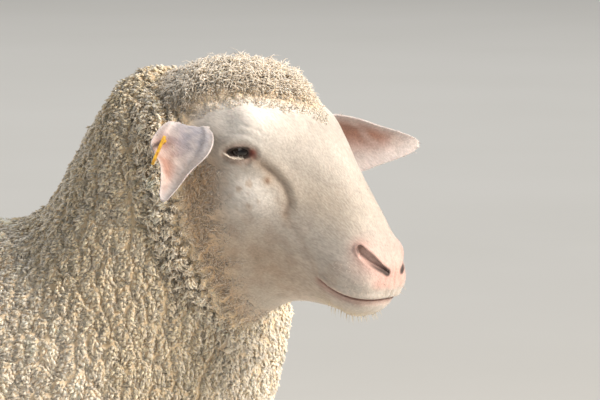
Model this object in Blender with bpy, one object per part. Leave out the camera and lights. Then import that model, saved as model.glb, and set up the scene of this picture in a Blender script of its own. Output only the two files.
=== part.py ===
# A standing, polled, white-faced ewe at life size, as a still museum model.
#
# +X is the way the trunk faces, +Y is the animal's left, +Z is up. The origin lies on the floor, at
# the middle of the model's box. Every solid is the outside of the coat: fleece on the trunk, neck
# and poll, short hair on the face, ears and lower legs. Lengths are in metres, angles in degrees.

import math
from collections import namedtuple

import bmesh
import bpy
import numpy as np
from mathutils import Matrix, Vector

# ---- driving sizes -------------------------------------------------------------------------------

GAP = 0.0004  # thin cut between neighbouring parts
MODEL_PLACE = Vector((-0.0579, 0.0, 0.0))  # brings the middle of the box over the origin

HEAD_PLACE = Vector((0.3895, -0.050, 0.8632))  # middle of the skull's base
HEAD_YAW = -27.0  # turned to the animal's right
HEAD_PITCH = 25.4  # muzzle carried below the poll

EYE_RADIUS = 0.0132
LID_THICKNESS = 0.0017
EYE_PLACE = Vector((0.0890, 0.0470, 0.0240))  # centre of the left eyeball, in the head's frame
EYE_LOOK = Vector((0.36, 0.92, 0.10))
EYE_OPENING = (0.0270, 0.0115)  # from corner to corner, from lid to lid
EYE_SLANT = 25.0  # rise of the opening towards the muzzle, in the head's frame

EAR_THICKNESS = 0.0040

HOOF_HEIGHT = 0.0355
HOOF_LENGTH = 0.060
HOOF_WIDTH = 0.0215
CLEFT = 0.0030  # between the two claws of a hoof

MOUTH_SLIT = 0.0010

# ---- small helpers -------------------------------------------------------------------------------


def flow(knots, values, at):
    """Values at the places `at`, on a smooth curve through the values given at the knots."""
    knots = np.asarray(knots, float)
    values = np.asarray(values, float)
    at = np.clip(at, knots[0], knots[-1])
    slopes = np.gradient(values, knots, axis=0)
    low = np.clip(np.searchsorted(knots, at, side="right") - 1, 0, len(knots) - 2)
    step = knots[low + 1] - knots[low]
    t = (at - knots[low]) / step
    if values.ndim > 1:
        step = step[:, None]
        t = t[:, None]
    start = (1 + 2 * t) * (1 - t) ** 2 * values[low] + t * (1 - t) ** 2 * step * slopes[low]
    return start + t**2 * (3 - 2 * t) * values[low + 1] - t**2 * (1 - t) * step * slopes[low + 1]


def ramp(value, low, high):
    """0 below low, 1 above high, smooth between."""
    t = np.clip((value - low) / (high - low), 0, 1)
    return t * t * (3 - 2 * t)


def blunted(wave, bluntness):
    """A sine or cosine bent so that a circle becomes a superellipse."""
    return np.sign(wave) * np.abs(wave) ** (2 / bluntness)


def unit(vector):
    return np.asarray(vector, float) / np.linalg.norm(vector)


def material(name, colour, roughness):
    made = bpy.data.materials.new(name)
    made.use_nodes = True
    shader = made.node_tree.nodes["Principled BSDF"]
    shader.inputs["Base Color"].default_value = (*colour, 1)
    shader.inputs["Roughness"].default_value = roughness
    shader.inputs["Metallic"].default_value = 0
    return made


def add_object(name, bm, finish, collection, frame=None):
    """An object of its own from a bmesh, facing outwards, shaded smooth and put in its place."""
    bmesh.ops.recalc_face_normals(bm, faces=bm.faces)
    mesh = bpy.data.meshes.new(name)
    bm.to_mesh(mesh)
    bm.free()
    mesh.transform(Matrix.Translation(MODEL_PLACE) @ (frame or Matrix()))
    mesh.shade_smooth()
    if finish:
        mesh.materials.append(finish)
    made = bpy.data.objects.new(name, mesh)
    collection.objects.link(made)
    return made


def skinned_rings(rings):
    """A closed bmesh through rings of points, with a fan over each end."""
    bm = bmesh.new()
    rows = [[bm.verts.new(point) for point in ring] for ring in rings]
    count = len(rows[0])
    for lower, upper in zip(rows, rows[1:]):
        for i in range(count):
            j = (i + 1) % count
            bm.faces.new((lower[i], lower[j], upper[j], upper[i]))
    for row in (rows[0], rows[-1]):
        middle = bm.verts.new(sum((v.co for v in row), Vector()) / count)
        for i in range(count):
            bm.faces.new((row[i], row[(i + 1) % count], middle))
    return bm


def swollen(obj, depth, collection):
    """A copy of an object's mesh, pushed out along its normals, for cutting its neighbours."""
    mesh = obj.data.copy()
    normals = [v.normal.copy() for v in mesh.vertices]
    for vertex, normal in zip(mesh.vertices, normals):
        vertex.co += normal * depth
    made = bpy.data.objects.new(obj.name + "_clearance", mesh)
    collection.objects.link(made)
    return as_cutter(made)


def as_cutter(obj):
    obj.hide_render = True
    obj.display_type = "WIRE"
    return obj


def cut_away(obj, cutter):
    modifier = obj.modifiers.new("Less " + cutter.name, "BOOLEAN")
    modifier.operation = "DIFFERENCE"
    modifier.solver = "EXACT"
    modifier.object = cutter


# ---- cross-sections given by their highest and lowest points --------------------------------------

# top and keel are (x, z); y and yaw shift and turn the section; widest is the height of the widest
# place between keel and top; crest and flank are the bluntness above and below it
Ring = namedtuple("Ring", "top_x top_z keel_x keel_z y yaw half_width widest crest flank")

SPINE = [  # the fleece from the rump forwards, then up the neck into the head
    Ring(-0.439, 0.625, -0.440, 0.505, 0.000, 0, 0.060, 0.50, 2.0, 2.0),
    Ring(-0.427, 0.682, -0.436, 0.432, 0.000, 0, 0.118, 0.52, 2.1, 2.1),
    Ring(-0.392, 0.724, -0.408, 0.372, 0.000, 0, 0.166, 0.54, 2.2, 2.2),
    Ring(-0.290, 0.758, -0.300, 0.330, 0.000, 0, 0.200, 0.54, 2.4, 2.3),
    Ring(-0.150, 0.762, -0.150, 0.314, 0.000, 0, 0.213, 0.53, 2.4, 2.3),
    Ring(0.010, 0.759, 0.010, 0.312, 0.000, 0, 0.211, 0.53, 2.4, 2.3),
    Ring(0.115, 0.760, 0.150, 0.326, 0.000, 0, 0.200, 0.52, 2.3, 2.3),
    Ring(0.186, 0.767, 0.270, 0.362, 0.000, 0, 0.184, 0.50, 2.2, 2.2),
    Ring(0.234, 0.779, 0.366, 0.430, -0.002, -2, 0.165, 0.50, 2.1, 2.2),
    Ring(0.257, 0.799, 0.422, 0.520, -0.006, -6, 0.148, 0.50, 2.1, 2.1),
    Ring(0.278, 0.834, 0.446, 0.598, -0.013, -10, 0.126, 0.50, 2.0, 2.1),
    Ring(0.300, 0.869, 0.459, 0.655, -0.022, -15, 0.108, 0.50, 2.0, 2.1),
    Ring(0.326, 0.903, 0.460, 0.700, -0.032, -20, 0.094, 0.50, 2.0, 2.0),
    Ring(0.357, 0.915, 0.455, 0.745, -0.040, -24, 0.078, 0.50, 2.0, 2.0),
    Ring(0.388, 0.904, 0.445, 0.800, -0.046, -26, 0.055, 0.50, 2.0, 2.0),
]
TRUNK_STEPS = 21
NECK_STEPS = 15
SPINE_SIDES = 24
NECK_STARTS = 7.6  # place of the cut between trunk and neck, counted in rows of SPINE


def ring_points(row, count):
    """Points of one cross-section, starting on the left and going over the top."""
    top_x, top_z, keel_x, keel_z, y, yaw, half_width, widest, crest, flank = row
    yaw = math.radians(yaw)
    left = np.array((-math.sin(yaw), math.cos(yaw), 0.0))
    keel = np.array((keel_x, y, keel_z))
    height = np.array((top_x - keel_x, 0.0, top_z - keel_z))
    turn = np.linspace(0, 2 * math.pi, count, endpoint=False)
    above = np.sin(turn) > 0
    bluntness = np.where(above, crest, flank)
    across = half_width * blunted(np.cos(turn), bluntness)
    tall = widest + np.where(above, 1 - widest, widest) * blunted(np.sin(turn), bluntness)
    return keel + across[:, None] * left + tall[:, None] * height


def section_grid(table, places, count):
    rows = flow(np.arange(len(table)), table, places)
    return np.array([ring_points(row, count) for row in rows])


# ---- legs ----------------------------------------------------------------------------------------

Limb = namedtuple("Limb", "x y z half_width half_depth")
ANKLE = HOOF_HEIGHT + GAP

FRONT_LEG = [  # the left one, from inside the shoulder down to the hoof
    Limb(0.235, 0.086, 0.440, 0.040, 0.060),
    Limb(0.240, 0.097, 0.400, 0.048, 0.062),
    Limb(0.240, 0.104, 0.335, 0.042, 0.050),
    Limb(0.240, 0.103, 0.280, 0.030, 0.035),
    Limb(0.243, 0.102, 0.240, 0.0265, 0.0290),
    Limb(0.241, 0.101, 0.205, 0.0205, 0.0230),
    Limb(0.239, 0.100, 0.145, 0.0165, 0.0195),
    Limb(0.240, 0.100, 0.092, 0.0210, 0.0245),
    Limb(0.248, 0.100, 0.064, 0.0190, 0.0205),
    Limb(0.257, 0.100, ANKLE, 0.0240, 0.0270),
]
HIND_LEG = [  # the left one, from inside the thigh down to the hoof
    Limb(-0.268, 0.098, 0.500, 0.088, 0.122),
    Limb(-0.268, 0.110, 0.425, 0.076, 0.112),
    Limb(-0.288, 0.108, 0.352, 0.053, 0.078),
    Limb(-0.335, 0.103, 0.292, 0.032, 0.046),
    Limb(-0.362, 0.101, 0.252, 0.0245, 0.0370),
    Limb(-0.360, 0.099, 0.212, 0.0205, 0.0275),
    Limb(-0.350, 0.098, 0.145, 0.0175, 0.0215),
    Limb(-0.343, 0.098, 0.094, 0.0215, 0.0255),
    Limb(-0.334, 0.098, 0.064, 0.0195, 0.0215),
    Limb(-0.325, 0.098, ANKLE, 0.0240, 0.0270),
]
LEG_STEPS = 16
LEG_SIDES = 10

LEGS = [  # name, table, side, how far forward the whole leg stands
    ("leg_front_left", FRONT_LEG, 1, 0.014),
    ("leg_front_right", FRONT_LEG, -1, -0.012),
    ("leg_hind_left", HIND_LEG, 1, -0.018),
    ("leg_hind_right", HIND_LEG, -1, 0.016),
]

HOOF_OUTLINE = [  # the sole, as parts of its length and width, from the heel's inner corner
    (0.00, 0.04),
    (0.00, 0.55),
    (0.10, 0.88),
    (0.36, 1.00),
    (0.66, 0.92),
    (0.88, 0.62),
    (1.00, 0.20),
    (0.99, 0.02),
]
HOOF_LEVELS = [(0.0, 1.0), (0.5, 0.97), (1.0, 0.91)]  # height, and size next to the sole's
TOE_LEAN = 0.42  # how far the toe draws back for each unit of height


def limb_grid(rows, steps, count):
    places = np.linspace(0, len(rows) - 1, steps)
    turn = np.linspace(0, 2 * math.pi, count, endpoint=False)
    grid = []
    for x, y, z, half_width, half_depth in flow(np.arange(len(rows)), rows, places):
        across = y + half_width * np.sin(turn)
        grid.append(np.stack([x + half_depth * np.cos(turn), across, np.full(count, z)], axis=1))
    return np.array(grid)


def stand(rows, side, forward):
    return [r._replace(x=r.x + forward, y=side * r.y) for r in rows]


def hoof_claw(name, heel, side, finish, collection):
    """Half of a cloven hoof: flat sole, sloping toe and straight inner wall."""
    rows = []
    for level, scale in HOOF_LEVELS:
        z = level * HOOF_HEIGHT
        length = (HOOF_LENGTH - TOE_LEAN * z) * scale
        rows.append([
            Vector((heel.x + a * length, heel.y + side * b * HOOF_WIDTH * scale, z))
            for a, b in HOOF_OUTLINE
        ])
    return add_object(name, skinned_rings(rows), finish, collection)


def add_hooves(name, ankle, finish, collection):
    for claw, side in (("outer", math.copysign(1, ankle.y)), ("inner", -math.copysign(1, ankle.y))):
        heel = Vector((ankle.x - 0.027, ankle.y + side * CLEFT / 2, 0))
        hoof_claw(f"hoof_{name}_{claw}", heel, side, finish, collection)


# ---- head: sections in its own frame, with muscles and hollows pushed out of them -----------------

HEAD = [  # the bare head, from inside the neck to the muzzle; x runs along the face
    Ring(-0.040, 0.008, 0.040, -0.098, 0, 0, 0.038, 0.60, 2.0, 2.0),
    Ring(-0.028, 0.028, 0.066, -0.124, 0, 0, 0.053, 0.62, 2.0, 2.1),
    Ring(0.006, 0.046, 0.098, -0.137, 0, 0, 0.061, 0.66, 2.1, 2.2),
    Ring(0.042, 0.061, 0.120, -0.133, 0, 0, 0.063, 0.70, 2.2, 2.1),
    Ring(0.078, 0.070, 0.137, -0.119, 0, 0, 0.061, 0.72, 2.3, 2.0),
    Ring(0.106, 0.072, 0.150, -0.103, 0, 0, 0.055, 0.69, 2.3, 2.0),
    Ring(0.132, 0.066, 0.162, -0.091, 0, 0, 0.047, 0.61, 2.1, 2.1),
    Ring(0.160, 0.052, 0.178, -0.081, 0, 0, 0.041, 0.52, 2.0, 2.2),
    Ring(0.187, 0.036, 0.198, -0.073, 0, 0, 0.0365, 0.46, 2.0, 2.3),
    Ring(0.212, 0.020, 0.218, -0.066, 0, 0, 0.0340, 0.44, 2.1, 2.4),
    Ring(0.229, 0.008, 0.232, -0.064, 0, 0, 0.0310, 0.44, 2.2, 2.4),
    Ring(0.240, -0.001, 0.242, -0.057, 0, 0, 0.0260, 0.44, 2.2, 2.3),
    Ring(0.247, -0.009, 0.248, -0.047, 0, 0, 0.0180, 0.46, 2.1, 2.1),
    Ring(0.250, -0.019, 0.250, -0.037, 0, 0, 0.0080, 0.50, 2.0, 2.0),
]
HEAD_STEPS = 37
HEAD_SIDES = 30

Bump = namedtuple("Bump", "along side up reach_along reach_side reach_up height")

BUMPS = [  # mirrored to both sides; height above the loft, negative for a hollow
    Bump(0.086, 0.050, 0.052, 0.024, 0.016, 0.012, 0.0050),  # brow over the eye
    Bump(0.090, 0.058, 0.026, 0.022, 0.020, 0.018, 0.0030),  # orbit
    Bump(0.124, 0.048, 0.012, 0.014, 0.020, 0.013, -0.0035),  # hollow before the eye
    Bump(0.118, 0.052, -0.016, 0.026, 0.020, 0.014, 0.0045),  # cheekbone
    Bump(0.075, 0.060, -0.060, 0.036, 0.030, 0.036, 0.0050),  # jaw muscle
    Bump(0.160, 0.040, -0.042, 0.030, 0.020, 0.018, -0.0025),  # hollow behind the lips
    Bump(0.236, 0.025, 0.004, 0.014, 0.012, 0.010, 0.0035),  # wing of the nostril
    Bump(0.240, 0.024, -0.026, 0.020, 0.018, 0.011, 0.0030),  # upper lip
    Bump(0.226, 0.012, -0.064, 0.018, 0.020, 0.012, 0.0015),  # chin
]
MOUTH = [(0.199, -0.0440), (0.216, -0.0460), (0.234, -0.0440), (0.270, -0.0320)]  # x and z
NOSTRIL = [  # x, y, z and half thickness of the left one's opening, from its outer end
    (0.2240, 0.0278, -0.0010, 0.0010),
    (0.2300, 0.0268, -0.0042, 0.0030),
    (0.2370, 0.0230, -0.0070, 0.0035),
    (0.2430, 0.0178, -0.0095, 0.0028),
    (0.2480, 0.0105, -0.0125, 0.0010),
]


def head_wool(points):
    """Depth of the coat on the head: a cap over the poll, a ruff round the cheeks, short hair."""
    along = points[..., 0]
    side = np.abs(points[..., 1])
    up = points[..., 2]
    front = flow([0.0, 0.020, 0.045, 0.055, 0.09], [0.120, 0.104, 0.060, 0.038, 0.020], side)
    depth = flow([-0.04, 0.0, 0.035, 0.08, 0.13], [0.012, 0.019, 0.024, 0.018, 0.016], along)
    cap = depth * (1 - ramp(along, front - 0.040, front + 0.008)) ** 0.7 * ramp(up, -0.010, 0.045)
    edge = 0.060 - 0.75 * np.minimum(up + 0.010, 0)
    ruff = 0.023 * (1 - ramp(along, edge - 0.060, edge)) * (1 - ramp(up, 0.0, 0.050))
    return np.maximum(np.maximum(cap, ruff), 0.0012)


def grid_normals(grid):
    """Outward unit normals on a grid of rings."""
    onwards = np.gradient(grid, axis=0)
    around = np.roll(grid, -1, axis=1) - np.roll(grid, 1, axis=1)
    normals = np.cross(around, onwards)
    return normals / np.maximum(np.linalg.norm(normals, axis=2, keepdims=True), 1e-9)


def raised_lids(grid):
    """The grid pushed out so that it clears both eyeballs by the thickness of the lids."""
    for side in (1, -1):
        centre = np.array((EYE_PLACE.x, side * EYE_PLACE.y, EYE_PLACE.z))
        offset = grid - centre
        distance = np.linalg.norm(offset, axis=2, keepdims=True)
        wanted = EYE_RADIUS + LID_THICKNESS
        grid = np.where(distance < wanted, centre + offset * wanted / distance, grid)
    return grid


def head_grid(steps, count):
    """The head's outer surface, as rings of points in the head's own frame."""
    spread = np.linspace(0, 1, steps)
    grid = section_grid(HEAD, (len(HEAD) - 1) * spread, count)
    push = head_wool(grid)
    for bump in BUMPS:
        near = ((grid[..., 0] - bump.along) / bump.reach_along) ** 2
        near += ((np.abs(grid[..., 1]) - bump.side) / bump.reach_side) ** 2
        near += ((grid[..., 2] - bump.up) / bump.reach_up) ** 2
        push += bump.height * np.exp(-near)
    return raised_lids(grid + grid_normals(grid) * push[..., None])


def head_frame():
    turn = Matrix.Rotation(math.radians(HEAD_YAW), 4, "Z")
    nod = Matrix.Rotation(math.radians(HEAD_PITCH), 4, "Y")
    return Matrix.Translation(HEAD_PLACE) @ turn @ nod


def tube(points, radii, count):
    """A closed tube through points, its rings square to its path."""
    points = np.asarray(points, float)
    rings = []
    for point, ahead, radius in zip(points, np.gradient(points, axis=0), radii):
        side = unit(np.cross(ahead, (0.1, 0.2, 1.0)))
        over = unit(np.cross(side, ahead))
        turn = np.linspace(0, 2 * math.pi, count, endpoint=False)[:, None]
        rings.append(point + radius * (np.cos(turn) * side + np.sin(turn) * over))
    return skinned_rings(rings)


def eye_frame(side):
    """The left or right eye: x along the opening towards the muzzle, z out of the eye."""
    look = Vector((EYE_LOOK.x, side * EYE_LOOK.y, EYE_LOOK.z)).normalized()
    slant = math.radians(EYE_SLANT)
    forward = Vector((math.cos(slant), 0, math.sin(slant)))
    forward = (forward - look * forward.dot(look)).normalized()
    across = look.cross(forward)
    turn = Matrix((forward, across, look)).transposed().to_4x4()
    centre = Vector((EYE_PLACE.x, side * EYE_PLACE.y, EYE_PLACE.z))
    return Matrix.Translation(centre) @ turn


def ball(radius, segments, rings):
    bm = bmesh.new()
    bmesh.ops.create_uvsphere(bm, u_segments=segments, v_segments=rings, radius=radius)
    return bm


def almond(length, height, reach, count):
    """A prism with an eye-shaped section, pointed at both corners, reaching out along z."""
    turn = np.linspace(0, 2 * math.pi, count, endpoint=False)
    x = length / 2 * np.cos(turn)
    y = height / 2 * np.sin(turn) * np.abs(np.sin(turn)) ** 0.35
    low = np.stack([x, y, np.full(count, 0.3 * reach)], axis=1)
    high = np.stack([x * 1.12, y * 1.25, np.full(count, reach)], axis=1)
    return skinned_rings([low, high])


def cut_features(head, frame, cutters):
    for name, side in (("left", 1), ("right", -1)):
        place = frame @ eye_frame(side)
        socket = add_object(
            f"socket_{name}", ball(EYE_RADIUS + GAP, 16, 12), None, cutters, place
        )
        opening = add_object(
            f"lid_opening_{name}", almond(*EYE_OPENING, 2.2 * EYE_RADIUS, 16), None, cutters, place
        )
        path = [(x, side * y, z) for x, y, z, _ in NOSTRIL]
        nostril = add_object(
            f"nostril_{name}", tube(path, [r for *_, r in NOSTRIL], 10), None, cutters, frame
        )
        for cutter in (socket, opening, nostril):
            cut_away(head, as_cutter(cutter))
    slit = []
    for x, z in MOUTH:
        slit.append([
            Vector((x, y, z + up * MOUTH_SLIT / 2)) for y, up in ((-0.05, -1), (0.05, -1), (0.05, 1), (-0.05, 1))
        ])
    cut_away(head, as_cutter(add_object("mouth_slit", skinned_rings(slit), None, cutters, frame)))


# ---- ears ----------------------------------------------------------------------------------------

EAR_STATIONS = [0.00, 0.12, 0.26, 0.42, 0.58, 0.74, 0.88, 0.96, 1.00]  # parts of the length
EAR_STEPS = 13

# In the head's frame: where it springs from, where it points at first and where its hollow faces.
# Then at each station: the width round the blade, the half angle of its curl, and how far the
# blade has drooped, swung and rolled by then, in degrees. Lift is how soon the hollow opens.
Ear = namedtuple("Ear", "root out opening length span curl droop swing roll lift sides")

EARS = {
    "ear_left": Ear(
        root=(0.044, 0.052, -0.006),
        out=(0.641, 0.690, 0.313),
        opening=(0.664, -0.718, 0.210),
        length=0.140,
        span=[0.046, 0.062, 0.077, 0.077, 0.061, 0.040, 0.024, 0.013, 0.004],
        curl=[104, 102, 92, 74, 60, 50, 40, 30, 20],
        droop=[0, 0, 0, 0, 0, 0, 0, 0, 0],
        swing=[0, 0, 0, 0, 0, 0, 0, 0, 0],
        roll=[0, 0, 0, 0, 0, 0, 0, 0, 0],
        lift=1,
        sides=7,
    ),
    "ear_right": Ear(  # folds over near its root and hangs
        root=(0.037, -0.050, 0.020),
        out=(0.204, -0.843, 0.498),
        opening=(-0.557, 0.318, 0.767),
        length=0.116,
        span=[0.044, 0.034, 0.025, 0.050, 0.057, 0.032, 0.018, 0.010, 0.003],
        curl=[80, 60, 30, 22, 40, 58, 56, 44, 30],
        droop=[0, 8, 32, 70, 80, 78, 74, 72, 72],
        swing=[0, 0, 2, 2, 8, 13, 17, 19, 20],
        roll=[0, -6, -12, -4, 0, -3, -4, 0, 0],
        lift=3,
        sides=9,
    ),
}


def ear_axes(ear, place):
    """The blade's middle line at one place, and the ways it runs, opens and spreads there."""
    out = unit(ear.out)
    opening = np.asarray(ear.opening, float)
    opening = unit(opening - out * (opening @ out))
    across = np.cross(out, opening)
    steps = np.linspace(0, place, 41)
    turns = [np.radians(flow(EAR_STATIONS, table, steps))[:, None] for table in (ear.droop, ear.swing)]
    droop, swing = turns
    fall = np.cos(droop) * out - np.sin(droop) * opening
    run = np.cos(swing) * fall + np.sin(swing) * across
    reach = (run[1:] + run[:-1]).mean(axis=0) / 2 * place * ear.length
    spread = np.cos(swing[-1]) * across - np.sin(swing[-1]) * fall[-1]
    facing = np.cross(spread, run[-1])
    roll = math.radians(flow(EAR_STATIONS, ear.roll, [place])[0])
    opened = math.cos(roll) * facing + math.sin(roll) * spread
    return np.asarray(ear.root) + reach, run[-1], opened, np.cross(run[-1], opened)


def ear_section(ear, place, fan):
    """Points across the middle of the blade at one place along it, and the way each faces."""
    middle, run, opening, across = ear_axes(ear, place)
    span = flow(EAR_STATIONS, ear.span, [place])[0]
    curl = math.radians(flow(EAR_STATIONS, ear.curl, [place])[0])
    radius = span / (2 * curl)
    hub = middle + opening * radius * min(1, ear.lift * place)
    turn = np.atleast_1d(fan)[:, None] * curl
    facing = np.cos(turn) * opening - np.sin(turn) * across
    return hub - radius * facing, facing, run


def ear_grid(ear, steps, thickness):
    """A rolled leaf that opens towards its tip, as thin closed loops across it."""
    fan = np.linspace(-1, 1, ear.sides)
    grid = []
    for place in np.linspace(0, 1, steps):
        middle, facing, _ = ear_section(ear, place, fan)
        half = thickness / 2 * np.sqrt(1 - 0.8 * fan**2)[:, None] * (1 - 0.6 * place**4)
        grid.append(np.concatenate([middle - half * facing, (middle + half * facing)[::-1]]))
    return np.array(grid)


# ---- ear tag ---------------------------------------------------------------------------------------

TAG_PLACE = (0.50, 0.62)  # on the right ear: part of its length, part of the way to its outer rim
TAG_PLATE = (0.0115, 0.0270, 0.0022)
TAG_STANDOFF = 0.0192  # from the middle of the ear to the middle of the plate
TAG_DROP = 0.0105  # the plate hangs this far below its stud
TAG_STANDS = (0.445, -0.782, 0.436)  # the way the plate stands off the ear, in the head's frame
TAG_HANGS = (0.350, -0.659, -0.666)  # the way it hangs down
BUTTON_RADIUS = 0.0070
BUTTON_DEPTH = 0.0018
BUTTON_GAP = 0.0062
STUD_RADIUS = 0.0022


def plate():
    """A thin plate with rounded corners."""
    bm = bmesh.new()
    bmesh.ops.create_cube(bm, size=1)
    bmesh.ops.scale(bm, vec=TAG_PLATE, verts=bm.verts)
    upright = [e for e in bm.edges if abs(e.verts[0].co.z - e.verts[1].co.z) > TAG_PLATE[2] / 2]
    bmesh.ops.bevel(bm, geom=upright, offset=0.004, segments=3, affect="EDGES", profile=0.5)
    return bm


def rod(radius, depth, sides):
    bm = bmesh.new()
    bmesh.ops.create_cone(
        bm, cap_ends=True, segments=sides, radius1=radius, radius2=radius, depth=depth
    )
    return bm


def add_tag(ear, frame, finish, sheep, cutters):
    """A plate that stands on edge off the ear, a stud through the ear, and a button behind it."""
    centre, _, _ = ear_section(EARS["ear_right"], *TAG_PLACE)
    stands = Vector(TAG_STANDS).normalized()
    hangs = Vector(TAG_HANGS)
    hangs = (hangs - stands * hangs.dot(stands)).normalized()
    origin = frame @ Matrix.Translation(Vector(centre[0]))
    flag = Matrix((stands, hangs, stands.cross(hangs))).transposed().to_4x4()
    hung = Matrix.Translation(stands * TAG_STANDOFF + hangs * TAG_DROP)
    add_object("tag_plate", plate(), finish, sheep, origin @ hung @ flag)
    pin = origin @ Matrix((hangs, stands.cross(hangs), stands)).transposed().to_4x4()
    back = pin @ Matrix.Translation((0, 0, -BUTTON_GAP - BUTTON_DEPTH / 2))
    add_object("tag_button", rod(BUTTON_RADIUS, BUTTON_DEPTH, 20), finish, sheep, back)
    low = -BUTTON_GAP + GAP
    high = TAG_STANDOFF - TAG_PLATE[0] / 2 - GAP
    middle = pin @ Matrix.Translation((0, 0, (low + high) / 2))
    add_object("tag_stud", rod(STUD_RADIUS, high - low, 12), finish, sheep, middle)
    hole = add_object(
        "tag_hole", rod(STUD_RADIUS + GAP, 2 * (high - low), 12), None, cutters, middle
    )
    cut_away(ear, as_cutter(hole))


# ---- tail ------------------------------------------------------------------------------------------

TAIL = [  # a docked, woolly tail, from inside the rump down to its tip
    Limb(-0.415, 0.0, 0.690, 0.030, 0.022),
    Limb(-0.432, 0.0, 0.672, 0.036, 0.024),
    Limb(-0.446, 0.0, 0.640, 0.038, 0.024),
    Limb(-0.452, 0.0, 0.590, 0.037, 0.023),
    Limb(-0.453, 0.0, 0.540, 0.033, 0.021),
    Limb(-0.451, 0.0, 0.505, 0.024, 0.016),
    Limb(-0.449, 0.0, 0.495, 0.010, 0.008),
]
TAIL_STEPS = 12

# ---- assembly ------------------------------------------------------------------------------------


def clear_scene():
    for obj in list(bpy.data.objects):
        bpy.data.objects.remove(obj)


def new_collection(name):
    made = bpy.data.collections.new(name)
    bpy.context.scene.collection.children.link(made)
    return made


def main():
    clear_scene()
    sheep = new_collection("Sheep")
    cutters = new_collection("Cutters")
    fleece = material("fleece", (0.62, 0.52, 0.41), 0.9)
    face_hair = material("face_hair", (0.80, 0.74, 0.66), 0.75)
    leg_hair = material("leg_hair", (0.72, 0.64, 0.54), 0.8)
    ear_skin = material("ear_skin", (0.80, 0.62, 0.55), 0.7)
    hoof_horn = material("hoof_horn", (0.20, 0.17, 0.14), 0.5)
    wet_eye = material("eye", (0.05, 0.035, 0.02), 0.1)
    tag_plastic = material("tag_plastic", (0.85, 0.62, 0.05), 0.4)

    last = len(SPINE) - 1
    trunk_grid = section_grid(SPINE, np.linspace(0, NECK_STARTS, TRUNK_STEPS), SPINE_SIDES)
    trunk = add_object("trunk", skinned_rings(trunk_grid), fleece, sheep)
    neck_places = np.linspace(NECK_STARTS + 0.012, last, NECK_STEPS)
    neck = add_object("neck", skinned_rings(section_grid(SPINE, neck_places, SPINE_SIDES)), fleece, sheep)
    trunk_clearance = swollen(trunk, GAP, cutters)

    frame = head_frame()
    head = add_object("head", skinned_rings(head_grid(HEAD_STEPS, HEAD_SIDES)), face_hair, sheep, frame)
    head_clearance = swollen(head, 3 * GAP, cutters)
    cut_away(neck, head_clearance)
    neck_clearance = swollen(neck, GAP, cutters)
    cut_features(head, frame, cutters)
    for name, side in (("left", 1), ("right", -1)):
        add_object(f"eye_{name}", ball(EYE_RADIUS, 16, 12), wet_eye, sheep, frame @ eye_frame(side))
    for name, ear in EARS.items():
        rings = ear_grid(ear, EAR_STEPS, EAR_THICKNESS)
        made = add_object(name, skinned_rings(rings), ear_skin, sheep, frame)
        cut_away(made, head_clearance)
        if name == "ear_right":
            add_tag(made, frame, tag_plastic, sheep, cutters)

    tail_grid = limb_grid(TAIL, TAIL_STEPS, LEG_SIDES)
    cut_away(add_object("tail", skinned_rings(tail_grid), fleece, sheep), trunk_clearance)
    for name, rows, side, forward in LEGS:
        placed = stand(rows, side, forward)
        limb = skinned_rings(limb_grid(placed, LEG_STEPS, LEG_SIDES))
        made = add_object(name, limb, leg_hair, sheep)
        cut_away(made, trunk_clearance)
        cut_away(made, neck_clearance)
        ankle = Vector((placed[-1].x, placed[-1].y, placed[-1].z))
        add_hooves(name.removeprefix("leg_"), ankle, hoof_horn, sheep)

    for obj in cutters.objects:
        as_cutter(obj)


main()
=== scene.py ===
# A standing polled ewe with a white face and a close, crimped fleece, as a life-size still model.
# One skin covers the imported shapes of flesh. Locks of wool and short hair grow over it, and the
# eyes, lashes, claws and ear tag are pieces of their own. Lengths are in metres.

import math

import bmesh
import bpy
import numpy as np
from mathutils import Matrix, Vector
from mathutils.kdtree import KDTree


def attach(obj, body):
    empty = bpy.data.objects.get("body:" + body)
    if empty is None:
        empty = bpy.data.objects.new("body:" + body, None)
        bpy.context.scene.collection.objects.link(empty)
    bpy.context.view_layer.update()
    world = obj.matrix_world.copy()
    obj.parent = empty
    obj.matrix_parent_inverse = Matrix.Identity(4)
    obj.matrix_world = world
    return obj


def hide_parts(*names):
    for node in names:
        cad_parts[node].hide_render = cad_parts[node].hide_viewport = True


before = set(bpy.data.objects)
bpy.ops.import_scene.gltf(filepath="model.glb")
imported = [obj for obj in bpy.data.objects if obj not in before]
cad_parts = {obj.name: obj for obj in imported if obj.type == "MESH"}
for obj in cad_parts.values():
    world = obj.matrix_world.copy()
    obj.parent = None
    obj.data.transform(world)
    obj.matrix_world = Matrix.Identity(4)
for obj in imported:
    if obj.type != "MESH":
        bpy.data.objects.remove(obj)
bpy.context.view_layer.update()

seed = 20

camera = {
    "azimuth": 10.0,
    "elevation": 6.0,
    "distance": 5.0,
    "target": (0.4171, 0.0, 0.7900),
    "lens": 336.0,
}

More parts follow.
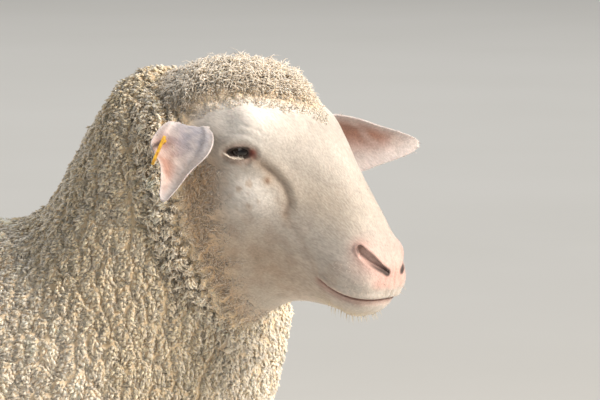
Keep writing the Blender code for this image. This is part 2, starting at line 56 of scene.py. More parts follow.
body = {
    "place": (-0.0579, 0.0, 0.0),
    "headPlace": (0.3895, -0.050, 0.8632),
    "headYaw": -27.0,
    "headPitch": 25.4,
    # top x, top z, keel x, keel z, y, yaw, half width, widest height, bluntness above and below
    "spine": [
        (-0.439, 0.625, -0.440, 0.505, 0.000, 0, 0.060, 0.50, 2.0, 2.0),
        (-0.427, 0.682, -0.436, 0.432, 0.000, 0, 0.118, 0.52, 2.1, 2.1),
        (-0.392, 0.724, -0.408, 0.372, 0.000, 0, 0.166, 0.54, 2.2, 2.2),
        (-0.290, 0.758, -0.300, 0.330, 0.000, 0, 0.200, 0.54, 2.4, 2.3),
        (-0.150, 0.762, -0.150, 0.314, 0.000, 0, 0.213, 0.53, 2.4, 2.3),
        (0.010, 0.759, 0.010, 0.312, 0.000, 0, 0.211, 0.53, 2.4, 2.3),
        (0.115, 0.760, 0.150, 0.326, 0.000, 0, 0.200, 0.52, 2.3, 2.3),
        (0.186, 0.767, 0.270, 0.362, 0.000, 0, 0.184, 0.50, 2.2, 2.2),
        (0.234, 0.779, 0.366, 0.430, -0.002, -2, 0.165, 0.50, 2.1, 2.2),
        (0.257, 0.799, 0.422, 0.520, -0.006, -6, 0.148, 0.50, 2.1, 2.1),
        (0.278, 0.834, 0.446, 0.598, -0.013, -10, 0.126, 0.50, 2.0, 2.1),
        (0.300, 0.869, 0.459, 0.655, -0.022, -15, 0.108, 0.50, 2.0, 2.1),
        (0.326, 0.903, 0.460, 0.700, -0.032, -20, 0.094, 0.50, 2.0, 2.0),
        (0.357, 0.915, 0.455, 0.745, -0.040, -24, 0.078, 0.50, 2.0, 2.0),
        (0.388, 0.904, 0.445, 0.800, -0.046, -26, 0.055, 0.50, 2.0, 2.0),
    ],
    # x, y, z, half width, half depth, of the left leg
    "frontLeg": [
        (0.235, 0.086, 0.440, 0.040, 0.060),
        (0.240, 0.097, 0.400, 0.048, 0.062),
        (0.240, 0.104, 0.335, 0.042, 0.050),
        (0.240, 0.103, 0.280, 0.030, 0.035),
        (0.243, 0.102, 0.240, 0.0265, 0.0290),
        (0.241, 0.101, 0.205, 0.0205, 0.0230),
        (0.239, 0.100, 0.145, 0.0165, 0.0195),
        (0.240, 0.100, 0.092, 0.0210, 0.0245),
        (0.248, 0.100, 0.064, 0.0190, 0.0205),
        (0.257, 0.100, 0.0359, 0.0240, 0.0270),
    ],
    "hindLeg": [
        (-0.268, 0.098, 0.500, 0.088, 0.122),
        (-0.268, 0.110, 0.425, 0.076, 0.112),
        (-0.288, 0.108, 0.352, 0.053, 0.078),
        (-0.335, 0.103, 0.292, 0.032, 0.046),
        (-0.362, 0.101, 0.252, 0.0245, 0.0370),
        (-0.360, 0.099, 0.212, 0.0205, 0.0275),
        (-0.350, 0.098, 0.145, 0.0175, 0.0215),
        (-0.343, 0.098, 0.094, 0.0215, 0.0255),
        (-0.334, 0.098, 0.064, 0.0195, 0.0215),
        (-0.325, 0.098, 0.0359, 0.0240, 0.0270),
    ],
    "legs": {  # table, side, step forwards
        "leg_front_left": ("frontLeg", 1, 0.014),
        "leg_front_right": ("frontLeg", -1, -0.012),
        "leg_hind_left": ("hindLeg", 1, -0.018),
        "leg_hind_right": ("hindLeg", -1, 0.016),
    },
    "tail": [
        (-0.415, 0.0, 0.690, 0.030, 0.022),
        (-0.432, 0.0, 0.672, 0.036, 0.024),
        (-0.446, 0.0, 0.640, 0.038, 0.024),
        (-0.452, 0.0, 0.590, 0.037, 0.023),
        (-0.453, 0.0, 0.540, 0.033, 0.021),
        (-0.451, 0.0, 0.505, 0.024, 0.016),
        (-0.449, 0.0, 0.495, 0.010, 0.008),
    ],
    "fleeceDepth": (0.0085, 0.0050),  # from the skin to the tips, on the trunk and on the neck
    "tailDepth": 0.009,
    "hairDepth": 0.0008,  # lower legs
}

head = {  # in the head's own frame: x along the face, z out of the forehead
    "sections": [
        (-0.040, 0.008, 0.040, -0.098, 0, 0, 0.038, 0.60, 2.0, 2.0),
        (-0.028, 0.028, 0.066, -0.124, 0, 0, 0.053, 0.62, 2.0, 2.1),
        (0.006, 0.046, 0.098, -0.137, 0, 0, 0.061, 0.66, 2.1, 2.2),
        (0.042, 0.061, 0.120, -0.133, 0, 0, 0.063, 0.70, 2.2, 2.1),
        (0.078, 0.070, 0.137, -0.119, 0, 0, 0.061, 0.72, 2.3, 2.0),
        (0.106, 0.072, 0.150, -0.103, 0, 0, 0.055, 0.69, 2.3, 2.0),
        (0.132, 0.066, 0.162, -0.091, 0, 0, 0.047, 0.61, 2.1, 2.1),
        (0.160, 0.052, 0.178, -0.081, 0, 0, 0.041, 0.52, 2.0, 2.2),
        (0.187, 0.036, 0.198, -0.073, 0, 0, 0.0365, 0.46, 2.0, 2.3),
        (0.212, 0.020, 0.218, -0.066, 0, 0, 0.0340, 0.44, 2.1, 2.4),
        (0.229, 0.008, 0.232, -0.064, 0, 0, 0.0310, 0.44, 2.2, 2.4),
        (0.240, -0.001, 0.242, -0.057, 0, 0, 0.0260, 0.44, 2.2, 2.3),
        (0.247, -0.009, 0.248, -0.047, 0, 0, 0.0180, 0.46, 2.1, 2.1),
        (0.250, -0.019, 0.250, -0.037, 0, 0, 0.0080, 0.50, 2.0, 2.0),
    ],
    "rowPlan": [(0, 3.3, 84), (3.3, 4.8, 74), (4.8, 8, 60), (8, 13, 96)],  # from, to, rows
    "columnPlan": [(-50, 60, 112), (60, 120, 24), (120, 230, 112), (230, 310, 26)],
    # along, side, up, reach along, reach side, reach up, height
    "bumps": [
        (0.086, 0.050, 0.052, 0.024, 0.016, 0.012, 0.0050),  # brow over the eye
        (0.090, 0.058, 0.026, 0.022, 0.020, 0.018, 0.0030),  # orbit
        (0.124, 0.048, 0.012, 0.014, 0.020, 0.013, -0.0035),  # hollow before the eye
        (0.118, 0.052, -0.016, 0.026, 0.020, 0.014, 0.0045),  # cheekbone
        (0.075, 0.060, -0.060, 0.036, 0.030, 0.036, 0.0050),  # jaw muscle
        (0.160, 0.040, -0.042, 0.030, 0.020, 0.018, -0.0025),  # hollow behind the lips
        (0.236, 0.025, 0.004, 0.014, 0.012, 0.010, 0.0035),  # wing of the nostril
        (0.240, 0.024, -0.026, 0.020, 0.018, 0.011, 0.0030),  # upper lip
        (0.226, 0.012, -0.064, 0.018, 0.020, 0.012, 0.0015),  # chin
    ],
    "skinBumps": [  # finer forms that only the skin shows
        (0.150, 0.040, 0.034, 0.034, 0.022, 0.014, -0.0034),  # hollow beside the nasal bones
        (0.126, 0.052, 0.002, 0.014, 0.020, 0.012, 0.0040),  # pad below the tear trough
        (0.098, 0.056, 0.000, 0.018, 0.020, 0.008, 0.0014),  # pouch under the eye
        (0.070, 0.060, 0.040, 0.014, 0.020, 0.010, -0.0022),  # temple
        (0.222, 0.030, 0.010, 0.012, 0.014, 0.006, -0.0012),  # dip above the nostril
        (0.214, 0.030, -0.030, 0.016, 0.014, 0.010, 0.0016),  # whisker pad
        (0.186, 0.036, -0.052, 0.012, 0.014, 0.008, -0.0012),  # corner of the mouth
    ],
    # folds: path on the left side, half width, height of the crease
    "folds": [
        ([(0.106, 0.0555, 0.028), (0.124, 0.0495, 0.023), (0.139, 0.0452, 0.017),
          (0.150, 0.0438, 0.007), (0.152, 0.0455, -0.004)], 0.0048, -0.0022),  # tear trough
        ([(0.110, 0.053, 0.034), (0.130, 0.048, 0.028), (0.147, 0.043, 0.018),
          (0.157, 0.041, 0.004)], 0.0060, 0.0010),  # rim of skin over it
        ([(0.152, 0.046, -0.007), (0.172, 0.042, -0.020), (0.190, 0.038, -0.034),
          (0.1997, 0.033, -0.046)], 0.0030, -0.0008),  # cheek crease down to the mouth
        ([(0.074, 0.062, 0.034), (0.086, 0.060, 0.041), (0.100, 0.056, 0.043),
          (0.112, 0.051, 0.040)], 0.0014, -0.0012),  # upper lid, first fold
        ([(0.070, 0.062, 0.040), (0.084, 0.059, 0.048), (0.100, 0.054, 0.050),
          (0.114, 0.048, 0.046)], 0.0016, -0.0009),  # upper lid, second fold
        ([(0.078, 0.063, 0.012), (0.092, 0.061, 0.010), (0.106, 0.056, 0.014)], 0.0014, -0.0008),
        ([(0.080, 0.064, 0.004), (0.096, 0.060, 0.001), (0.112, 0.055, 0.004)], 0.0018, -0.0006),
    ],
    "mouth": [(0.199, -0.0440), (0.216, -0.0460), (0.234, -0.0440), (0.270, -0.0320)],
    "nostril": [  # x, y, z and half thickness
        (0.2240, 0.0278, -0.0010, 0.0018),
        (0.2300, 0.0268, -0.0042, 0.0037),
        (0.2370, 0.0230, -0.0070, 0.0036),
        (0.2430, 0.0178, -0.0095, 0.0025),
        (0.2480, 0.0105, -0.0125, 0.0008),
    ],
}

nostrilLine = [point[:3] for point in head["nostril"]]

eye = {
    "place": (0.0890, 0.0470, 0.0240),
    "look": (0.36, 0.92, 0.10),
    "slant": 25.0,
    "opening": (0.0250, 0.0050, 0.0050),  # length, height above and below its corners' line
    "radius": 0.0132,
    "lid": 0.0017,
}

earShape = {
    "thickness": 0.0034,
    "stations": [0.00, 0.12, 0.26, 0.42, 0.58, 0.74, 0.88, 0.96, 1.00],  # parts of the length
    "ridges": [(-0.30, 0.24, 0.0009), (0.34, 0.22, 0.0014), (0.97, 0.10, 0.0012), (-0.97, 0.10, 0.0012)],
    "steps": 64,
    "sides": 26,
}
ears = {  # in the head's frame; the right one folds over near its root and hangs
    "ear_left": {
        "root": (0.044, 0.052, -0.006),
        "out": (0.641, 0.690, 0.313),
        "opening": (0.664, -0.718, 0.210),
        "length": 0.140,
        "span": [0.046, 0.062, 0.077, 0.077, 0.061, 0.040, 0.024, 0.013, 0.004],  # rim to rim
        "curl": [104, 102, 92, 74, 60, 50, 40, 30, 20],  # half the arc it is rolled through
        "droop": [0] * 9,
        "swing": [0] * 9,
        "roll": [0] * 9,
        "lift": 1,
    },
    "ear_right": {
        "root": (0.037, -0.050, 0.020),
        "out": (0.204, -0.843, 0.498),
        "opening": (-0.557, 0.318, 0.767),
        "length": 0.116,
        "span": [0.044, 0.034, 0.025, 0.050, 0.057, 0.032, 0.018, 0.010, 0.003],
        "curl": [80, 60, 30, 22, 40, 58, 56, 44, 30],
        "droop": [0, 8, 32, 70, 80, 78, 74, 72, 72],
        "swing": [0, 0, 2, 2, 8, 13, 17, 19, 20],
        "roll": [0, -6, -12, -4, 0, -3, -4, 0, 0],
        "lift": 3,
    },
}


def linear(hexColour):
    values = [int(hexColour[i:i + 2], 16) / 255 for i in (1, 3, 5)]
    return np.array([v / 12.92 if v <= 0.04045 else ((v + 0.055) / 1.055) ** 2.4 for v in values])


def flow(knots, values, at):  # smooth curve through values at knots
    knots = np.asarray(knots, float)
    values = np.asarray(values, float)
    at = np.clip(at, knots[0], knots[-1])
    slopes = np.gradient(values, knots, axis=0)
    low = np.clip(np.searchsorted(knots, at, side="right") - 1, 0, len(knots) - 2)
    step = knots[low + 1] - knots[low]
    t = (at - knots[low]) / step
    if values.ndim > 1:
        step, t = step[:, None], t[:, None]
    start = (1 + 2 * t) * (1 - t) ** 2 * values[low] + t * (1 - t) ** 2 * step * slopes[low]
    return start + t**2 * (3 - 2 * t) * values[low + 1] - t**2 * (1 - t) * step * slopes[low + 1]


def ramp(value, low, high):
    t = np.clip((value - low) / (high - low), 0, 1)
    return t * t * (3 - 2 * t)


def bell(distance, width):
    return np.exp(-((distance / width) ** 2))


def blunted(wave, bluntness):
    return np.sign(wave) * np.abs(wave) ** (2 / bluntness)


def unit(vectors):
    vectors = np.asarray(vectors, float)
    return vectors / np.maximum(np.linalg.norm(vectors, axis=-1, keepdims=True), 1e-12)


def softNoise(points, size, start):  # smooth wander of about -1 to 1, with lumps of that size
    rng = np.random.default_rng(start)
    total = np.zeros(points.shape[:-1])
    for _ in range(7):
        way = unit(rng.normal(size=3)) * 2 * math.pi / (size * rng.uniform(0.7, 1.5))
        total += np.sin(points @ way + rng.uniform(0, 2 * math.pi))
    return total / 3.0


def pathDistance(points, path):  # distance to a bent line, and how far along it that is
    path = np.asarray(path, float)
    best = np.full(points.shape[:-1], 1e9)
    where = np.zeros(points.shape[:-1])
    for i, (a, b) in enumerate(zip(path, path[1:])):
        along = np.clip((points - a) @ (b - a) / ((b - a) @ (b - a)), 0, 1)
        gap = np.linalg.norm(points - a - along[..., None] * (b - a), axis=-1)
        where = np.where(gap < best, (i + along) / (len(path) - 1), where)
        best = np.minimum(best, gap)
    return best, where


def mouthHeight(along):
    return flow(*zip(*head["mouth"]), along)


def stepped(plan):  # places at the spacing that each stretch of the plan asks for
    return np.concatenate([np.linspace(a, b, n, endpoint=False) for a, b, n in plan])


def sectionPoints(row, turn):
    topX, topZ, keelX, keelZ, y, yaw, halfWidth, widest, crest, flank = row
    yaw = math.radians(yaw)
    left = np.array((-math.sin(yaw), math.cos(yaw), 0.0))
    keel = np.array((keelX, y, keelZ))
    height = np.array((topX - keelX, 0.0, topZ - keelZ))
    above = np.sin(turn) > 0
    bluntness = np.where(above, crest, flank)
    across = halfWidth * blunted(np.cos(turn), bluntness)
    tall = widest + np.where(above, 1 - widest, widest) * blunted(np.sin(turn), bluntness)
    return keel + across[:, None] * left + tall[:, None] * height


def sectionGrid(table, places, turn):
    return np.array([sectionPoints(row, turn) for row in flow(np.arange(len(table)), table, places)])


def limbGrid(rows, steps, count):
    turn = np.linspace(0, 2 * math.pi, count, endpoint=False)
    grid = []
    for x, y, z, wide, deep in flow(np.arange(len(rows)), rows, np.linspace(0, len(rows) - 1, steps)):
        grid.append(np.stack([x + deep * np.cos(turn), y + wide * np.sin(turn), np.full(count, z)], 1))
    return np.array(grid)


def gridNormals(grid):
    onwards = np.gradient(grid, axis=0)
    around = np.roll(grid, -1, axis=1) - np.roll(grid, 1, axis=1)
    return unit(np.cross(around, onwards))


def headFrame():
    turn = Matrix.Rotation(math.radians(body["headYaw"]), 4, "Z")
    nod = Matrix.Rotation(math.radians(body["headPitch"]), 4, "Y")
    place = Vector(body["place"]) + Vector(body["headPlace"])
    return Matrix.Translation(place) @ turn @ nod


def eyeFrame(side):  # x along the opening towards the muzzle, z out of the eye
    look = Vector((eye["look"][0], side * eye["look"][1], eye["look"][2])).normalized()
    slant = math.radians(eye["slant"])
    forward = Vector((math.cos(slant), 0, math.sin(slant)))
    forward = (forward - look * forward.dot(look)).normalized()
    turn = Matrix((forward, look.cross(forward), look)).transposed().to_4x4()
    x, y, z = eye["place"]
    return Matrix.Translation((x, side * y, z)) @ turn


def moved(points, matrix):
    m = np.array(matrix)
    return points @ m[:3, :3].T + m[:3, 3]


def mirrored(points):  # every point on the left side, and which side it came from
    side = np.where(points[..., 1] < 0, -1.0, 1.0)
    return np.stack([points[..., 0], np.abs(points[..., 1]), points[..., 2]], -1), side


neckFleeceFrom = 0.125  # finer locks from the shoulder forwards
toWorld = headFrame()
toHead = toWorld.inverted()
headTurn = np.array(toWorld)[:3, :3]


def headWool(points):  # depth of the coat on the head
    along, side, up = points[..., 0], np.abs(points[..., 1]), points[..., 2]
    front = flow([0.0, 0.020, 0.045, 0.055, 0.09], [0.120, 0.104, 0.060, 0.038, 0.020], side)
    depth = flow([-0.04, 0.0, 0.035, 0.08, 0.13], [0.012, 0.019, 0.024, 0.018, 0.016], along)
    cap = depth * (1 - ramp(along, front - 0.040, front + 0.008)) ** 0.7 * ramp(up, -0.010, 0.045)
    edge = 0.060 - 0.75 * np.minimum(up + 0.010, 0)
    ruff = 0.023 * (1 - ramp(along, edge - 0.060, edge)) * (1 - ramp(up, 0.0, 0.050))
    return np.maximum(np.maximum(cap, ruff), 0.0012), cap, ruff


lidCurve = 1.35  # above 1, the opening narrows to points at its corners


def lidDistance(local, side):  # from the edge of the opening, in the eye's frame; inside is below 0
    length, above, below = eye["opening"]
    halfLength = length / 2
    x, y = local[..., 0], local[..., 1]
    halfHeight = np.where(y * side > 0, above, below) * (1 + 0.10 * x / halfLength)
    wave = np.sqrt(np.clip(1 - (x / halfLength) ** 2, 0, 1))
    beyond = np.maximum(np.abs(x) - halfLength, 0)
    clear = np.abs(y) - halfHeight * wave**lidCurve
    return np.hypot(clear, beyond) * np.where((beyond > 0) | (clear > 0), 1, -1)


def shapedLids(grid):
    for side in (1, -1):
        place = eyeFrame(side)
        local = moved(grid, place.inverted())
        reach = np.linalg.norm(local, axis=-1)
        near = (reach < 0.034) & (local[..., 2] > -0.002)
        gap = lidDistance(local, side)
        hug = 1 - ramp(gap, 0.0015, 0.0080)
        lidReach = eye["radius"] + eye["lid"] + 0.0007 * bell(gap - 0.0012, 0.0012)
        upper = ramp(local[..., 1] * side, -0.001, 0.004)
        folds = 0.0016 * bell(gap - 0.0022, 0.0022) - 0.0010 * bell(gap - 0.0062, 0.0014)
        lidReach = lidReach + upper * folds
        wanted = np.maximum(reach * (1 - hug) + lidReach * hug, np.where(gap > 0, lidReach, 0))
        floor = eye["radius"] - 0.0030 + 0.0034 * ramp(local[..., 0], 0.0085, 0.0125)
        wanted = wanted + (floor - wanted) * (1 - ramp(gap, -0.0006, 0.0005))
        scale = np.where(near, wanted / np.maximum(reach, 1e-6), 1.0)
        grid = moved(local * scale[..., None], place)
    return grid


# the coat parts into staples: how far apart they stand, how much longer than wide on the ground,
# and how deep the partings between them are
staplePlans = {
    "fleece_trunk": dict(spacing=0.0200, stretch=(1, 1, 0.8), depth=0.0030),
    "fleece_neck": dict(spacing=0.0120, stretch=(1, 1, 0.45), depth=0.0028),
    "poll_wool": dict(spacing=0.0115, stretch=(1, 1, 1), depth=0.0030),
    "cheek_curls": dict(spacing=0.0115, stretch=(1, 1, 1), depth=0.0066),
}
staples = {}  # name: centres in the model's frame


def treeOf(points):  # a lookup of the nearest point
    tree = KDTree(len(points))
    for i, point in enumerate(points):
        tree.insert(point, i)
    tree.balance()
    return tree


def oneToACell(spots, size):  # which spots come first in each cell of a grid
    cell = np.floor(spots / size).astype(np.int64)
    _, first = np.unique((cell[:, 0] * 4099 + cell[:, 1]) * 4099 + cell[:, 2], return_index=True)
    return np.sort(first)


def setStaples(name, ground, rng):  # centres on the ground, none too near another
    plan = staplePlans[name]
    ground = ground[rng.permutation(len(ground))]
    centres = ground[oneToACell(ground * plan["stretch"], plan["spacing"])]
    placed = centres * plan["stretch"]
    tree = treeOf(placed)
    kept = np.ones(len(centres), bool)
    for i, centre in enumerate(placed):
        if kept[i]:
            for _, j, _ in tree.find_range(centre, 0.62 * plan["spacing"]):
                if j > i:
                    kept[j] = False
    staples[name] = centres[kept]


def nearestTwo(centres, spots):  # nearest centre, and how far it and the next one are
    tree = treeOf(centres)
    best = np.empty((len(spots), 2))
    which = np.empty(len(spots), int)
    for i, spot in enumerate(spots):
        (_, which[i], near), (_, _, far) = tree.find_n(spot, 2)
        best[i] = near, far
    return which, best


def partings(name, points):  # 1 in the middle of a parting between staples, 0 on a staple
    plan = staplePlans[name]
    _, gaps = nearestTwo(staples[name] * plan["stretch"], points * plan["stretch"])
    return bell(gaps[:, 1] - gaps[:, 0], 0.30 * plan["spacing"])


def headGrid():
    places = np.append(stepped(head["rowPlan"]), head["rowPlan"][-1][1])
    grid = sectionGrid(head["sections"], places, np.radians(stepped(head["columnPlan"])))
    wool, cap, ruff = headWool(grid)
    push = 0.0006 + (wool - 0.0012) * (0.74 + 0.06 * ramp(ruff - cap, 0, 0.006))
    for along, side, up, reachX, reachY, reachZ, height in head["bumps"] + head["skinBumps"]:
        near = ((grid[..., 0] - along) / reachX) ** 2 + ((np.abs(grid[..., 1]) - side) / reachY) ** 2
        push += height * np.exp(-near - ((grid[..., 2] - up) / reachZ) ** 2)
    normals = gridNormals(grid)
    rng = np.random.default_rng(seed)
    world = moved(grid + normals * push[..., None], toWorld)
    for name, area in (
        ("poll_wool", cap > np.maximum(ruff, 0.003)),
        ("cheek_curls", (ruff > 0.006) & (ruff > cap)),
    ):
        setStaples(name, world[area], rng)
        parted = partings(name, world[area])
        push[area] -= staplePlans[name]["depth"] * parted * ramp(wool[area], 0.004, 0.012)
    grid = grid + normals * push[..., None]
    # a dome over the open end between the nostrils
    middle = grid[-1].mean(axis=0)
    dome = []
    for scale in (0.88, 0.74, 0.60, 0.46, 0.32, 0.18):
        dome.append(middle + scale * (grid[-1] - middle) + np.array((0.0022 * (1 - scale**2), 0, 0)))
    grid = np.concatenate([grid, np.array(dome)])
    normals = gridNormals(grid)
    left, _ = mirrored(grid)
    crease = np.zeros(grid.shape[:2])
    for path, width, height in head["folds"]:
        gap, where = pathDistance(left, path)
        fade = ramp(where, 0.0, 0.18) * (1 - ramp(where, 0.80, 1.0))  # shallow at both ends
        crease += height * bell(gap, width) * (0.25 + 0.75 * fade)
    line = grid[..., 2] - mouthHeight(grid[..., 0].ravel()).reshape(grid.shape[:2])
    openMouth = ramp(grid[..., 0], 0.197, 0.206)
    crease += openMouth * (
        -0.0030 * bell(line, 0.0011) + 0.0012 * bell(line - 0.0040, 0.0026)
        - 0.0010 * bell(line + 0.0030, 0.0024)
    )
    crease -= 0.0012 * bell(left[..., 1], 0.0013) * ramp(grid[..., 0], 0.240, 0.247) * ramp(line, 0, 0.004)
    grid = grid + normals * crease[..., None]
    # nostrils sink inwards and back
    gap, where = pathDistance(left, nostrilLine)
    half = flow(np.linspace(0, 1, len(nostrilLine)), [p[3] for p in head["nostril"]], where.ravel())
    half = half.reshape(gap.shape)
    sink = 1 - ramp(gap, half * 0.75, half * 1.25 + 0.0006)
    rim = 0.0014 * bell(gap - half - 0.0026, 0.0018) * ramp(left[..., 2], -0.012, 0.0)
    one = np.ones(gap.shape)
    inwards = np.stack([-0.72 * one, -0.50 * np.sign(grid[..., 1]), 0.2 * one], -1)
    grid = grid + normals * rim[..., None] + inwards * (0.0085 * sink)[..., None]
    return shapedLids(grid)


def earAxes(ear, place):
    out = unit(ear["out"])
    opening = np.asarray(ear["opening"], float)
    opening = unit(opening - out * (opening @ out))
    across = np.cross(out, opening)
    steps = np.linspace(0, place, 41)
    droop, swing = (
        np.radians(flow(earShape["stations"], ear[bend], steps))[:, None] for bend in ("droop", "swing")
    )
    fall = np.cos(droop) * out - np.sin(droop) * opening
    run = np.cos(swing) * fall + np.sin(swing) * across
    reach = (run[1:] + run[:-1]).mean(axis=0) / 2 * place * ear["length"]
    spread = np.cos(swing[-1]) * across - np.sin(swing[-1]) * fall[-1]
    facing = np.cross(spread, run[-1])
    roll = math.radians(flow(earShape["stations"], ear["roll"], [place])[0])
    return np.asarray(ear["root"]) + reach, run[-1], math.cos(roll) * facing + math.sin(roll) * spread


def earSection(ear, place, fan):
    middle, run, opening = earAxes(ear, place)
    across = np.cross(run, opening)
    span = flow(earShape["stations"], ear["span"], [place])[0]
    curl = math.radians(flow(earShape["stations"], ear["curl"], [place])[0])
    radius = span / (2 * curl)
    hub = middle + opening * radius * min(1, ear["lift"] * place)
    turn = np.atleast_1d(fan)[:, None] * curl
    facing = np.cos(turn) * opening - np.sin(turn) * across
    return hub - radius * facing, facing


def earGrid(ear):
    edge = math.pi / 2 * 0.94
    fan = np.sin(np.linspace(-edge, edge, earShape["sides"])) / math.sin(edge)
    grid = []
    for place in np.linspace(0, 0.994, earShape["steps"]):
        middle, facing = earSection(ear, place, fan)
        half = earShape["thickness"] / 2 * np.sqrt(1 - 0.84 * fan**2) * (1 - 0.6 * place**4)
        inner = half.copy()
        for at, width, height in earShape["ridges"]:
            inner += height * bell(fan - at * (1 - 0.5 * place), width) * (1 - ramp(place, 0.45, 0.85))
        grid.append(np.concatenate(
            [middle - half[:, None] * facing, (middle + inner[:, None] * facing)[::-1]]
        ))
    return np.array(grid)


def solidFrom(grid):  # closed mesh through rings of points
    rows, count = grid.shape[:2]
    points = np.concatenate([grid.reshape(-1, 3), grid[:1].mean(1), grid[-1:].mean(1)])
    index = np.arange(rows * count).reshape(rows, count)
    after = np.roll(index, -1, axis=1)
    quads = np.stack([index[:-1], after[:-1], after[1:], index[1:]], -1).reshape(-1, 4).tolist()
    low, high = rows * count, rows * count + 1
    fans = [(b, a, low) for a, b in zip(index[0], after[0])]
    fans += [(a, b, high) for a, b in zip(index[-1], after[-1])]
    mesh = bpy.data.meshes.new("shape")
    mesh.from_pydata(points.tolist(), [], quads + [tuple(map(int, f)) for f in fans])
    bm = bmesh.new()
    bm.from_mesh(mesh)
    bmesh.ops.recalc_face_normals(bm, faces=bm.faces)
    bm.to_mesh(mesh)
    bm.free()
    return mesh


def newObject(name, mesh, material=None):
    made = bpy.data.objects.new(name, mesh)
    bpy.context.scene.collection.objects.link(made)
    if material:
        mesh.materials.append(material)
    return made


def skinSurfaces():  # name: grid in the model's frame
    made = {}
    places = np.append(np.linspace(0, 7, 74, endpoint=False), np.linspace(7, len(body["spine"]) - 1, 170))
    turn = np.linspace(0, 2 * math.pi, 250, endpoint=False)
    spine = sectionGrid(body["spine"], places, turn) + np.array(body["place"])
    trunkDepth, neckDepth = body["fleeceDepth"]
    onNeck = ramp(spine[..., 0], neckFleeceFrom - 0.02, neckFleeceFrom + 0.02)
    dips = trunkDepth + (neckDepth - trunkDepth) * onNeck
    dips += 0.0010 * softNoise(spine, 0.050, 3)
    rng = np.random.default_rng(seed + 1)
    for name, area in (
        ("fleece_trunk", spine[..., 0] < neckFleeceFrom), ("fleece_neck", spine[..., 0] >= neckFleeceFrom)
    ):
        setStaples(name, spine[area], rng)
        dips[area] += staplePlans[name]["depth"] * partings(name, spine[area])
    made["spine"] = spine - gridNormals(spine) * dips[..., None]
    made["head"] = moved(headGrid(), toWorld)
    for name, ear in ears.items():
        made[name] = moved(earGrid(ear), toWorld)
    for name, (table, side, forward) in body["legs"].items():
        rows = [(x + forward, side * y, z, wide, deep) for x, y, z, wide, deep in body[table]]
        limb = limbGrid(rows, 110, 44)
        depth = body["hairDepth"] + 0.008 * ramp(limb[..., 2], 0.25, 0.34)
        limb = limb + unit(limb.mean(1, keepdims=True) - limb) * depth[..., None]
        made[name] = limb + np.array(body["place"])
    tail = limbGrid(body["tail"], 50, 30)
    tail = tail + unit(tail.mean(1, keepdims=True) - tail) * body["tailDepth"] * ramp(
        np.linalg.norm(tail - tail.mean(1, keepdims=True), axis=-1), 0.0, 0.022
    )[..., None]
    made["tail"] = tail + np.array(body["place"])
    return made


def joinedSkin(surfaces):
    parts = {name: newObject(name + "Shape", solidFrom(grid)) for name, grid in surfaces.items()}
    base = parts.pop("spine")
    for name, part in parts.items():
        union = base.modifiers.new(name, "BOOLEAN")
        union.operation = "UNION"
        union.solver = "MANIFOLD"
        union.object = part
    graph = bpy.context.evaluated_depsgraph_get()
    mesh = bpy.data.meshes.new_from_object(base.evaluated_get(graph))
    mesh.materials.clear()
    for part in [base, *parts.values()]:
        bpy.data.objects.remove(part)
    return mesh


def readOut(items, field, width, kind):  # one row of values for each item
    values = np.empty(len(items) * width, kind)
    items.foreach_get(field, values)
    return values.reshape(-1, width)


def relaxed(mesh, points, weight, rounds):
    a, b = readOut(mesh.edges, "vertices", 2, np.int32).T
    count = np.bincount(np.concatenate([a, b]), minlength=len(points))
    for _ in range(rounds):
        total = np.zeros_like(points)
        for axis in range(3):
            total[:, axis] = np.bincount(a, points[b, axis], len(points)) + np.bincount(
                b, points[a, axis], len(points)
            )
        points = points + (total / count[:, None] - points) * weight[:, None]
    return points


def nearestOn(surfaces, names):  # a lookup of the shape that a point lies on, and where on it
    keys = []
    for which, name in enumerate(names):
        rows, count = surfaces[name].shape[:2]
        row, column = np.divmod(np.arange(rows * count), count)
        keys.extend(zip([which] * (rows * count), row / (rows - 1), column / count))
    return treeOf(np.concatenate([surfaces[name].reshape(-1, 3) for name in names])), np.array(keys)


print("stage: shapes")
surfaces = skinSurfaces()
partNames = list(surfaces)
partOf = {name: i for i, name in enumerate(partNames)}
skinMesh = joinedSkin(surfaces)
print("stage: skin joined,", len(skinMesh.polygons), "faces")


def lookUp(tree, keys, points):  # which shape, part of its rows, part of the way round
    return np.array([keys[tree.find(point)[1]] for point in points])


tree, keys = nearestOn(surfaces, partNames)
points = readOut(skinMesh.vertices, "co", 3, np.float32).astype(float)
found = lookUp(tree, keys, points)
local = moved(points, toHead)
rootGap = np.min([np.linalg.norm(local - np.array(ear["root"]), axis=1) for ear in ears.values()], 0)
points = relaxed(skinMesh, points, 0.5 * (1 - ramp(rootGap, 0.026, 0.036)) * ramp(rootGap, 0.012, 0.020), 6)
skinMesh.vertices.foreach_set("co", points.astype(np.float32).ravel())
skinMesh.update()

